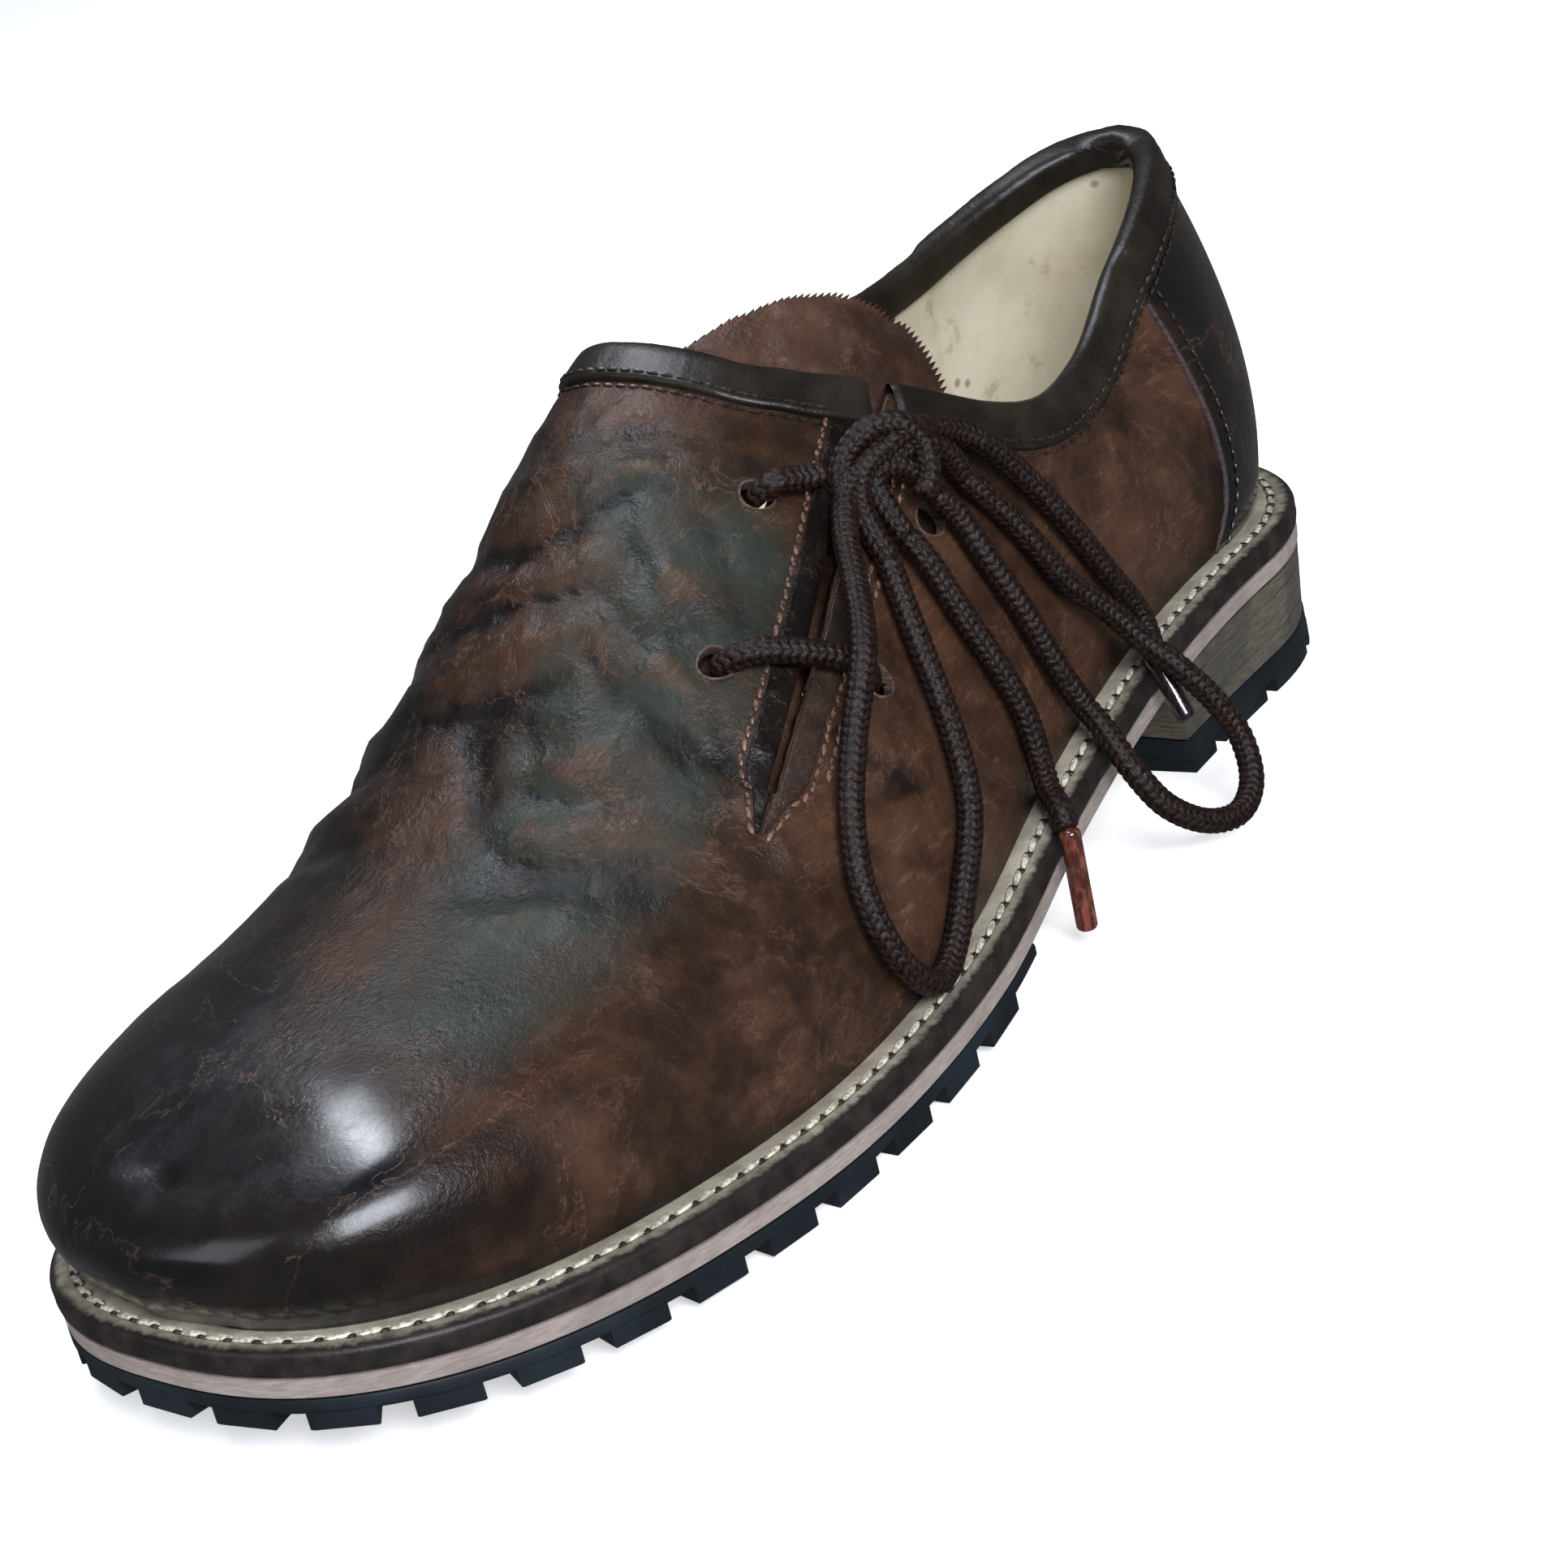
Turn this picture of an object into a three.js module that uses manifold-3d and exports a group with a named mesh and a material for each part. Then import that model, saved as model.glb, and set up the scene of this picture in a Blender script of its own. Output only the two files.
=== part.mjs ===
// Traditional side-laced leather shoe for the left foot, standing empty on its sole.
// Millimetres. +X runs from heel to toe, +Y to the outer side, +Z up, and the floor is z = 0.
import * as THREE from "three";
import { mergeVertices } from "three/addons/utils/BufferGeometryUtils.js";
import Module from "manifold-3d";

const wasm = await Module();
wasm.setup();

// Main sizes
const LENGTH = 302; // outer edge of the sole, heel to toe
const BALL_WIDTH = 112.6; // sole edge to sole edge at the ball
const HEEL_WIDTH = 73.4; // sole edge to sole edge at the heel
const INSTEP_HEIGHT = 103; // ridge of the upper at the throat, above the floor
const COLLAR_HEIGHT = 97; // top of the collar at the back of the heel
const TOE_SPRING = 9; // rise of the sole's tip

// Sole layers, from the floor up
const HEEL_LIFT = 7;
const HEEL_STACK = 14.7;
const HALF_SOLE = 5.4; // lugs included
const FLAT_PRESS = 0.35; // how much the curve of the half sole is pressed flat on the floor
const MIDSOLE = 3.6;
const WELT = 4.6;
const WELT_RING = 17; // width of the welt strip, most of it under the upper
const HEEL_TAPER = 1.2; // inset of the heel's foot against its seat
const HEEL_BREAST = 0.25; // front of the heel, share of the length
const HALF_SOLE_BACK = 0.5; // back edge of the half sole, share of the length
const SHANK = { back: 40, front: 205 }; // the sole falls from heel to ball between these

// Upper and what is in it
const WALL = 2;
const SIDE_MARGIN = 7; // welt that shows beside the upper
const HEEL_PROFILE = [6, -11, 14, 14]; // control distances of the back of the heel, from the sole's end
const TOE_PROFILE = [6.5, -9, 14, 14]; // the same for the toe
const COUNTER_STEP = 0.8; // the counter stands proud by this
const COUNTER_EDGE = 0.128; // front edge of the counter, share of the length
const BINDING = 1.3; // leather of the collar binding
const BINDING_WIDTH = 7.5;
const TONGUE = 1.6;
const INSOLE = 3;
const SLIT_WIDTH = 4.4; // at the collar
const SLIT_TIP_WIDTH = 1.4;
const EYELET = 5.6;
const LACE = 4.4;
const AGLET = 3.6;
const PINKING = 2.6; // depth of the tongue's teeth
const TEETH = 20;

// Tread
const LUG_DEPTH = 3;
const LUG_WIDTH = 10;
const LUG_LENGTH = 28;
const LUG_PITCH = 15;
const CROSS_SPAN = 21;
const HEEL_GROOVE = { width: 4, length: 11, pitch: 19 };

const GAP = 0.3; // between pieces that touch
const RIM_GAP = 0.5; // between the leather's edge and the binding folded over it
const BINDING_RINGS = 68;
const RIM_STEP = 6; // the binding clears the counter's edge by this, about one of its facets
const INNER_GAP = 1.2; // between the wall's inner face and the binding, which has finer facets

// Plan of the sole: centre line as a share of the ball width, spread from heel width (0) to ball width (1)
const PLAN = [
  { at: 0, centre: -0.004, spread: 0 },
  { at: 0.126, centre: -0.001, spread: 0.008 },
  { at: 0.25, centre: 0.014, spread: 0.046 },
  { at: 0.4, centre: 0.05, spread: 0.2 },
  { at: 0.546, centre: 0.06, spread: 0.663 },
  { at: 0.68, centre: 0.024, spread: 1 },
  { at: 0.8, centre: 0.013, spread: 1 },
  { at: 1, centre: 0.013, spread: 1 },
];
const HEEL_ROUND = { share: 0.126, power: 2.1 };
const TOE_ROUND = { share: 0.321, power: 2.5 };

// Sections of the last. crown: ridge height, share of the instep height. ridge: its offset to the outer side,
// share of the ball width. wall: height of the wall's handle, share of the section. bulgeIn, bulgeOut: how far
// the inner and outer walls swell, shares of the ball width. shoulderIn, shoulderOut: how broad the top is,
// shares of the half width.
const SECTIONS = [
  { at: 0, crown: 1.126, ridge: 0, wall: 0.42, bulgeIn: 0.027, bulgeOut: 0.027, shoulderIn: 0.45, shoulderOut: 0.45 },
  { at: 0.1, crown: 1.126, ridge: -0.027, wall: 0.42, bulgeIn: 0.036, bulgeOut: 0.036, shoulderIn: 0.45, shoulderOut: 0.45 },
  { at: 0.22, crown: 1.117, ridge: -0.089, wall: 0.45, bulgeIn: 0.027, bulgeOut: 0.027, shoulderIn: 0.6, shoulderOut: 0.5 },
  { at: 0.34, crown: 1.078, ridge: -0.178, wall: 0.45, bulgeIn: 0.018, bulgeOut: 0, shoulderIn: 0.84, shoulderOut: 0.65 },
  { at: 0.43, crown: 1, ridge: -0.231, wall: 0.45, bulgeIn: 0.027, bulgeOut: -0.018, shoulderIn: 0.96, shoulderOut: 0.85 },
  { at: 0.52, crown: 0.893, ridge: -0.195, wall: 0.45, bulgeIn: 0.036, bulgeOut: -0.009, shoulderIn: 0.92, shoulderOut: 0.88 },
  { at: 0.6, crown: 0.757, ridge: -0.142, wall: 0.45, bulgeIn: 0.036, bulgeOut: 0.018, shoulderIn: 0.9, shoulderOut: 0.85 },
  { at: 0.68, crown: 0.612, ridge: -0.089, wall: 0.5, bulgeIn: 0.036, bulgeOut: 0.036, shoulderIn: 0.85, shoulderOut: 0.82 },
  { at: 0.76, crown: 0.524, ridge: -0.044, wall: 0.6, bulgeIn: 0.044, bulgeOut: 0.053, shoulderIn: 0.85, shoulderOut: 0.82 },
  { at: 0.86, crown: 0.485, ridge: -0.018, wall: 0.72, bulgeIn: 0.071, bulgeOut: 0.062, shoulderIn: 0.88, shoulderOut: 0.85 },
  { at: 0.94, crown: 0.456, ridge: 0, wall: 0.78, bulgeIn: 0.098, bulgeOut: 0.071, shoulderIn: 0.88, shoulderOut: 0.85 },
  { at: 1, crown: 0.408, ridge: 0, wall: 0.8, bulgeIn: 0.098, bulgeOut: 0.071, shoulderIn: 0.88, shoulderOut: 0.85 },
];

// Top line of the collar from the side: its height on the outer and the inner side, shares of the collar height
const TOPLINE = [
  { at: -0.017, outer: 1.021, inner: 1.021 },
  { at: 0.04, outer: 1, inner: 1 },
  { at: 0.083, outer: 0.959, inner: 0.954 },
  { at: 0.149, outer: 0.876, inner: 0.897 },
  { at: 0.215, outer: 0.778, inner: 0.871 },
  { at: 0.265, outer: 0.758, inner: 0.866 },
  { at: 0.305, outer: 0.799, inner: 0.881 },
  { at: 0.341, outer: 0.866, inner: 0.912 },
  { at: 0.374, outer: 0.923, inner: 0.954 },
  { at: 0.404, outer: 0.969, inner: 1 },
  { at: 0.424, outer: 1.01, inner: 1.036 },
  { at: 0.44, outer: 1.103, inner: 1.103 },
  { at: 0.464, outer: 1.443, inner: 1.443 },
];
const SIDE_BLEND = 25; // the two top lines change over within this distance of the middle

// Places on the upper. s runs from heel (0) to toe (1). w is 0 on the ridge, 1 at the outer welt, -1 at the inner.
const SLIT_TOP = { s: 0.359, w: 0.425 };
const SLIT_TIP = { s: 0.622, w: 0.517 };
const EYELETS = {
  vamp_upper: { s: 0.484, w: 0.332 },
  vamp_lower: { s: 0.588, w: 0.344 },
  quarter_upper: { s: 0.393, w: 0.598 },
  quarter_lower: { s: 0.511, w: 0.622 },
};
const COLLAR_CENTRE = 0.22; // s of the middle of the collar opening
const TONGUE_SHAPE = { front: 0.665, back: 0.292, corner: 0.135, tipW: 0.52, topW: 0.4, tipHalf: 0.1, topHalf: 0.34 };

// Routes of the lace in this frame, chosen by hand on the leather and over the welt
const LACE_ROUTES = {
  lace_loop_front: [
    [136.5, 23, 79], [143, 27, 75], [149, 32, 71.6], [160.4, 40.2, 65.3], [171.5, 43.4, 55], [180, 46.7, 46.2],
    [185.5, 50.5, 37.5], [186.5, 53.8, 28.5], [183.5, 55.2, 21.5], [178, 54.8, 17.6], [171.5, 53.4, 19], [162, 51, 26],
    [153, 48, 34.5], [148, 44, 43.5], [145, 40, 52.5], [141, 34.5, 62], [136.8, 29.4, 70],
  ],
  lace_end_front: [
    [129.5, 28, 71], [128.8, 31, 66], [128, 35, 56.5], [126.5, 38.5, 47], [125, 41, 37], [125.5, 42.5, 28.5],
    [128.8, 45.6, 25], [132, 49.5, 23.6], [133.8, 51.6, 20.6],
  ],
  lace_loop_back: [
    [119, 27.3, 73.8], [116, 29, 68.5], [115, 32, 61], [113, 36, 50], [111, 38.6, 39.5], [108.5, 41, 30.6],
    [110, 45.2, 27.2], [111.5, 50.5, 20.8], [109, 54.2, 13], [102.5, 57.4, 7], [94.5, 58.8, 4.9], [87.6, 57.6, 7.4],
    [84, 54.6, 13.6], [85.6, 51.6, 21.4], [88, 47.4, 28.4], [90, 42.6, 34], [93.2, 38.4, 41.5], [98, 35.4, 48],
    [102, 33, 57], [105.5, 29.6, 65.5], [109.5, 26.5, 72.8],
  ],
  lace_end_back: [
    [113.4, 24.4, 82.6], [107.4, 25.4, 80], [102.5, 27, 75.8], [96.5, 29.4, 67.2], [91, 32.6, 56], [85.5, 35.1, 44],
    [81.2, 36.3, 35.6], [81.2, 37.4, 31.8], [83.4, 39.2, 30.2], [85.4, 40.7, 29.6],
  ],
};
const AGLETS = {
  aglet_front: { from: [134.3, 52.2, 19.6], to: [136.2, 53.2, 3.4] },
  aglet_back: { from: [86.5, 41.6, 29], to: [88.5, 47.5, 18.5] },
};
const KNOT = { at: [125.4, 22.7, 82.1], size: [8, 7.4, 4.6] };

// Numbers and curves
const clamp = (x, low, high) => Math.min(Math.max(x, low), high);
const lerp = (a, b, k) => a + (b - a) * k;

function smooth(from, to, x) {
  const k = clamp((x - from) / (to - from), 0, 1);
  return k * k * (3 - 2 * k);
}

// Smooth value of one column of a table at a place between its rows.
function along(table, column, at) {
  const x = clamp(at, table[0].at, table.at(-1).at);
  let i = 0;
  while (i < table.length - 2 && x > table[i + 1].at) i += 1;
  const slope = (k) => (table[k + 1][column] - table[k][column]) / (table[k + 1].at - table[k].at);
  const tangent = (k) => {
    if (k === 0) return slope(0);
    if (k === table.length - 1) return slope(k - 1);
    const before = table[k].at - table[k - 1].at;
    const after = table[k + 1].at - table[k].at;
    return (slope(k - 1) * after + slope(k) * before) / (before + after);
  };
  const step = table[i + 1].at - table[i].at;
  const t = (x - table[i].at) / step;
  return (
    (2 * t ** 3 - 3 * t ** 2 + 1) * table[i][column] +
    (t ** 3 - 2 * t ** 2 + t) * step * tangent(i) +
    (3 * t ** 2 - 2 * t ** 3) * table[i + 1][column] +
    (t ** 3 - t ** 2) * step * tangent(i + 1)
  );
}

function bezier([a, b, c, d], t) {
  const u = 1 - t;
  return a * u ** 3 + 3 * b * t * u ** 2 + 3 * c * t ** 2 * u + d * t ** 3;
}

// Solids
function toSolid(geometry) {
  const bare = geometry.index ? geometry.toNonIndexed() : geometry.clone();
  bare.deleteAttribute("normal");
  bare.deleteAttribute("uv");
  const merged = mergeVertices(bare, 1e-4);
  const corners = merged.index.array;
  const triangles = [];
  for (let i = 0; i < corners.length; i += 3) {
    const [a, b, c] = [corners[i], corners[i + 1], corners[i + 2]];
    if (a !== b && b !== c && c !== a) triangles.push(a, b, c);
  }
  const build = (list) =>
    new wasm.Manifold(
      new wasm.Mesh({
        numProp: 3,
        vertProperties: new Float32Array(merged.attributes.position.array),
        triVerts: new Uint32Array(list),
      }),
    );
  const made = build(triangles);
  return made.volume() < 0 ? build(triangles.reverse()) : made;
}

function toGeometry(solid) {
  const mesh = solid.getMesh();
  const geometry = new THREE.BufferGeometry();
  geometry.setAttribute("position", new THREE.BufferAttribute(mesh.vertProperties, 3));
  geometry.setIndex(new THREE.BufferAttribute(mesh.triVerts, 1));
  geometry.computeVertexNormals();
  return geometry;
}

// Closed body through rings of equal length. Its ends are closed by strips, or meet in a line by themselves.
function loft(rings, closed = false) {
  const count = rings[0].length;
  const positions = [];
  const face = (...points) => points.forEach((p) => positions.push(p.x, p.y, p.z));
  const quad = (a, b, c, d) => {
    face(a, b, c);
    face(a, c, d);
  };
  const last = closed ? rings.length : rings.length - 1;
  for (let i = 0; i < last; i += 1) {
    const [here, next] = [rings[i], rings[(i + 1) % rings.length]];
    for (let j = 0; j < count; j += 1) {
      const k = (j + 1) % count;
      quad(here[j], here[k], next[k], next[j]);
    }
  }
  if (!closed) {
    for (let j = 0; j < Math.floor((count - 1) / 2); j += 1) {
      const k = count - 1 - j;
      const [start, end] = [rings[0], rings.at(-1)];
      quad(start[k], start[k - 1], start[j + 1], start[j]);
      quad(end[j], end[j + 1], end[k - 1], end[k]);
    }
  }
  const geometry = new THREE.BufferGeometry();
  geometry.setAttribute("position", new THREE.Float32BufferAttribute(positions, 3));
  return toSolid(geometry);
}

// Prism on a plan outline, between two heights that may change along x.
function prism(points, low, high) {
  const outline = THREE.ShapeUtils.isClockWise(points) ? points.slice().reverse() : points;
  const faces = THREE.ShapeUtils.triangulateShape(outline, []);
  const positions = [];
  const push = (p, z) => positions.push(p.x, p.y, z(p.x));
  faces.forEach(([a, b, c]) => {
    [c, b, a].forEach((k) => push(outline[k], low));
    [a, b, c].forEach((k) => push(outline[k], high));
  });
  outline.forEach((p, i) => {
    const q = outline[(i + 1) % outline.length];
    push(p, low);
    push(q, low);
    push(q, high);
    push(p, low);
    push(q, high);
    push(p, high);
  });
  const geometry = new THREE.BufferGeometry();
  geometry.setAttribute("position", new THREE.Float32BufferAttribute(positions, 3));
  return toSolid(geometry);
}

const unite = (solids) => wasm.Manifold.union(solids);

// Sole lines
const HEEL_HEIGHT = HEEL_LIFT + HEEL_STACK;

function seat(x) {
  const ball = HALF_SOLE - FLAT_PRESS;
  const fall = lerp(HEEL_HEIGHT, ball, smooth(SHANK.back, SHANK.front, x));
  const front = Math.max(x - (SHANK.front - 10), 0) / (LENGTH - SHANK.front + 10);
  return fall + TOE_SPRING * front ** 2;
}

const ground = (x) => Math.max(seat(x) - HALF_SOLE, 0);
const weltTop = (x) => seat(x) + MIDSOLE + WELT;

function rounding(s) {
  const end = (ratio, power) => (1 - clamp(ratio, 0, 1) ** power) ** (1 / power);
  if (s < HEEL_ROUND.share) return end((HEEL_ROUND.share - s) / HEEL_ROUND.share, HEEL_ROUND.power);
  if (s > 1 - TOE_ROUND.share) return end((s - 1 + TOE_ROUND.share) / TOE_ROUND.share, TOE_ROUND.power);
  return 1;
}

const centreLine = (s) => BALL_WIDTH * along(PLAN, "centre", s);
const halfWidth = (s) => lerp(HEEL_WIDTH, BALL_WIDTH, along(PLAN, "spread", s)) / 2;

function soleEdge(s, side, inset) {
  const x = inset + s * (LENGTH - 2 * inset);
  const y = centreLine(s) + side * rounding(s) * (halfWidth(s) - inset);
  return new THREE.Vector2(x, y);
}

// Places along the length, close together where the ends are round.
function stations(from, to, heelSteps, middleSteps, toeSteps) {
  const heel = HEEL_ROUND.share;
  const toe = 1 - TOE_ROUND.share;
  const list = [];
  for (let i = 0; i < heelSteps; i += 1) list.push(heel * (1 - Math.cos((i / heelSteps) * Math.PI * 0.5)));
  for (let i = 0; i < middleSteps; i += 1) list.push(lerp(heel, toe, i / middleSteps));
  for (let i = 0; i <= toeSteps; i += 1) list.push(toe + TOE_ROUND.share * Math.sin((i / toeSteps) * Math.PI * 0.5));
  const inside = list.filter((s) => s > from + 0.004 && s < to - 0.004);
  return [from, ...inside, to];
}

// Plate with the plan of the sole: each level has its inset from the sole's edge and its height.
function plate(levels, from = 0, to = 1) {
  const rings = stations(from, to, 6, 12, 11).map((s) => {
    const half = (side) =>
      levels.map(({ inset, z }) => {
        const p = soleEdge(s, side, inset);
        return new THREE.Vector3(p.x, p.y, z(p.x));
      });
    return [...half(-1).reverse(), ...half(1)];
  });
  return loft(rings);
}

// The last: a closed form round the foot. t runs from the welt (0) to the ridge (1) on either side.
function lastPoint(s, t, side) {
  const back = bezier(HEEL_PROFILE, t);
  const front = LENGTH - bezier(TOE_PROFILE, t);
  const x = lerp(back, front, s);
  const half = halfWidth(s) - SIDE_MARGIN;
  const bulge = BALL_WIDTH * along(SECTIONS, side > 0 ? "bulgeOut" : "bulgeIn", s);
  const shoulder = along(SECTIONS, side > 0 ? "shoulderOut" : "shoulderIn", s);
  const ridge = BALL_WIDTH * along(SECTIONS, "ridge", s);
  const across = bezier([half, half + bulge, shoulder * half, 0], t);
  const lean = ridge * (t ** 3 + 3 * t ** 2 * (1 - t));
  const y = centreLine(s) + rounding(s) * (side * across + lean);
  const rise = INSTEP_HEIGHT * along(SECTIONS, "crown", s) - weltTop(LENGTH * s);
  const z = weltTop(x) + rise * bezier([0, along(SECTIONS, "wall", s), 1, 1], t);
  return new THREE.Vector3(x, y, z);
}

function lastNormal(s, t, side) {
  const e = 1e-4;
  const at = clamp(s, 0.002, 0.998);
  const up = clamp(t, e, 1 - e);
  const length = lastPoint(at + e, up, side).sub(lastPoint(at - e, up, side));
  const height = lastPoint(at, up + e, side).sub(lastPoint(at, up - e, side));
  return height.cross(length).multiplyScalar(side).normalize();
}

// Point of the upper's outer face moved out by a distance, and the direction that it faces. w as for the places.
function skin(s, w, out = 0) {
  const side = w < 0 ? -1 : 1;
  const t = 1 - Math.abs(w);
  const normal = lastNormal(s, t, side);
  if (s < 0.002 || s > 0.998 || t > 0.999) normal.add(lastNormal(s, t, -side)).normalize();
  const point = lastPoint(s, t, side).addScaledVector(normal, out);
  return { point, normal };
}

const counter = (s) => COUNTER_STEP * (1 - smooth(COUNTER_EDGE, COUNTER_EDGE + 0.002, s));

function toplineHeight(x, y) {
  const share = smooth(-SIDE_BLEND, SIDE_BLEND, y);
  const [inner, outer] = ["inner", "outer"].map((side) => along(TOPLINE, side, x / LENGTH));
  return COLLAR_HEIGHT * lerp(inner, outer, share);
}

// Height of a point above the top line lowered by a drop, measured square to that line.
function aboveTopline(p, drop) {
  const slope = toplineHeight(p.x + 0.5, p.y) - toplineHeight(p.x - 0.5, p.y);
  return p.z - toplineHeight(p.x, p.y) + drop * Math.hypot(1, slope);
}

function bisect(inside, low, high) {
  let [a, b] = [low, high];
  for (let i = 0; i < 26; i += 1) {
    const middle = (a + b) / 2;
    if (inside(middle)) a = middle;
    else b = middle;
  }
  return (a + b) / 2;
}

// Point of the rim in the (s, w) chart. k runs from -1 at the back of the heel, along the inner side, through
// 0 at the throat, and along the outer side to 1 at the back again.
function rimChart(k, drop) {
  const stretch = 2; // makes the chart about as long as it is wide
  const isInside = (s, w) => aboveTopline(skin(clamp(s, 0, 1), w).point, drop) > 0;
  const heelW = bisect((w) => isInside(0, w), 0, 1);
  const turn = k * Math.atan2(heelW, -COLLAR_CENTRE * stretch);
  const place = (r) => ({ s: COLLAR_CENTRE + (r * Math.cos(turn)) / stretch, w: clamp(r * Math.sin(turn), -1, 1) });
  const r = bisect((far) => place(far).s >= -1e-6 && isInside(place(far).s, place(far).w), 0, 1.2);
  const { s, w } = place(r);
  return { s: Math.max(s, 0), w };
}

function rim(k, drop = 0, out = 0) {
  const { s, w } = rimChart(k, drop);
  return skin(s, w, out > 0 ? out + counter(s - RIM_STEP / LENGTH) : out);
}

// Values of k that lie evenly along the binding, without the last one, which is the first again.
function evenRim(count) {
  const samples = 160;
  const line = (drop) => Array.from({ length: samples + 1 }, (_, i) => rim((2 * i) / samples - 1, drop).point);
  const [edge, hem] = [line(0), line(BINDING_WIDTH)];
  const distance = [0];
  for (let i = 1; i <= samples; i += 1) {
    const step = Math.max(edge[i].distanceTo(edge[i - 1]), hem[i].distanceTo(hem[i - 1]));
    distance.push(distance[i - 1] + step);
  }
  return Array.from({ length: count }, (_, j) => {
    const target = (distance.at(-1) * j) / count;
    let i = 1;
    while (distance[i] < target) i += 1;
    const share = (target - distance[i - 1]) / (distance[i] - distance[i - 1]);
    return (2 * (i - 1 + share)) / samples - 1;
  });
}

// Form of the last moved in or out, closed underneath, from a height below the welt's top.
function lastForm(out, below, withCounter) {
  const across = 11;
  const list = stations(0, 1, 7, 16, 11);
  const places = [...list, COUNTER_EDGE, COUNTER_EDGE + 0.002].sort((a, b) => a - b);
  const rings = places.map((s) => {
    const half = (side) =>
      Array.from({ length: across + 1 }, (_, j) => skin(s, side * (1 - j / across), out + (withCounter ? counter(s) : 0)).point);
    const inner = half(-1);
    const outer = half(1).reverse().slice(1);
    [inner[0], outer.at(-1)].forEach((p) => p.setZ(Math.max(p.z, weltTop(p.x))));
    const foot = (p) => new THREE.Vector3(p.x, p.y, weltTop(p.x) - below);
    return [foot(inner[0]), ...inner, ...outer, foot(outer.at(-1))];
  });
  return loft(rings);
}

function collarCutter(drop) {
  const middle = Array.from({ length: 9 }, (_, i) => lerp(-SIDE_BLEND, SIDE_BLEND, i / 8));
  const columns = [-BALL_WIDTH, ...middle, BALL_WIDTH];
  const lid = 2.2 * COLLAR_HEIGHT;
  const [back, bend, front] = [-0.06, 0.39, TOPLINE.at(-1).at];
  const places = [
    ...Array.from({ length: 24 }, (_, i) => lerp(back, bend, i / 24)),
    ...Array.from({ length: 19 }, (_, i) => lerp(bend, front, i / 18)),
  ];
  const rings = places.map((share) => {
    const x = LENGTH * share;
    const slope = toplineHeight(x + 0.5, 0) - toplineHeight(x - 0.5, 0);
    const low = columns.map((y) => new THREE.Vector3(x, y, toplineHeight(x, y) - drop * Math.hypot(1, slope)));
    const high = columns.map((y) => new THREE.Vector3(x, y, lid)).reverse();
    return [...low, ...high];
  });
  return loft(rings);
}

// Wedge through the outer wall that opens the slit from its tip up through the collar.
function slitCutter() {
  const top = skin(SLIT_TOP.s, SLIT_TOP.w);
  const tip = skin(SLIT_TIP.s, SLIT_TIP.w);
  const run = top.point.clone().sub(tip.point);
  const reach = run.length() + 14;
  const along_ = run.normalize();
  const out = top.normal.clone().add(tip.normal);
  out.addScaledVector(along_, -out.dot(along_)).normalize();
  const across = out.clone().cross(along_);
  const shape = new THREE.Shape();
  shape.moveTo(SLIT_WIDTH / 2, reach);
  shape.lineTo(-SLIT_WIDTH / 2, reach);
  shape.lineTo(-SLIT_TIP_WIDTH / 2, 0);
  shape.absarc(0, 0, SLIT_TIP_WIDTH / 2, Math.PI, 2 * Math.PI, false);
  shape.closePath();
  const depth = 22;
  const geometry = new THREE.ExtrudeGeometry(shape, { depth, bevelEnabled: false, curveSegments: 4 });
  geometry.translate(0, 0, -depth / 2);
  geometry.applyMatrix4(new THREE.Matrix4().makeBasis(across, along_, out).setPosition(tip.point));
  return toSolid(geometry);
}

function eyeletCutter({ s, w }) {
  const { point, normal } = skin(s, w);
  const geometry = new THREE.CylinderGeometry(EYELET / 2, EYELET / 2, 12, 12);
  geometry.applyQuaternion(new THREE.Quaternion().setFromUnitVectors(new THREE.Vector3(0, 1, 0), normal));
  geometry.translate(point.x, point.y, point.z);
  return toSolid(geometry);
}

// Edge of the sole as a line that is walked by its length, with the way in from it.
function edgeWalk(from, to, around) {
  const steps = 160;
  const share = (i) => {
    const k = (2 * i) / steps - 1;
    const depth = Math.sin((1 - Math.abs(k)) * Math.PI * 0.5);
    return { s: lerp(from, to, around === "toe" ? depth : 1 - depth), side: k < 0 ? -1 : 1 };
  };
  const points = Array.from({ length: steps + 1 }, (_, i) => soleEdge(share(i).s, share(i).side, 0.4));
  const distance = [0];
  for (let i = 1; i <= steps; i += 1) distance.push(distance[i - 1] + points[i].distanceTo(points[i - 1]));
  const pointAt = (d) => {
    let i = 1;
    while (i < steps && distance[i] < d) i += 1;
    return points[i - 1].clone().lerp(points[i], (d - distance[i - 1]) / (distance[i] - distance[i - 1]));
  };
  const place = (d, depth) => {
    const way = pointAt(d + 2).sub(pointAt(d - 2)).normalize();
    const turn = around === "toe" ? 1 : -1;
    return pointAt(d).add(new THREE.Vector2(-way.y * turn, way.x * turn).multiplyScalar(depth));
  };
  return { length: distance.at(-1), place };
}

// Pieces
function makeUpper() {
  const outer = lastForm(0, 0.01, true);
  const hollow = lastForm(-WALL, 8, false);
  const cuts = [collarCutter(RIM_GAP), slitCutter(), ...Object.values(EYELETS).map(eyeletCutter)];
  return outer.subtract(hollow).subtract(unite(cuts));
}

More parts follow.
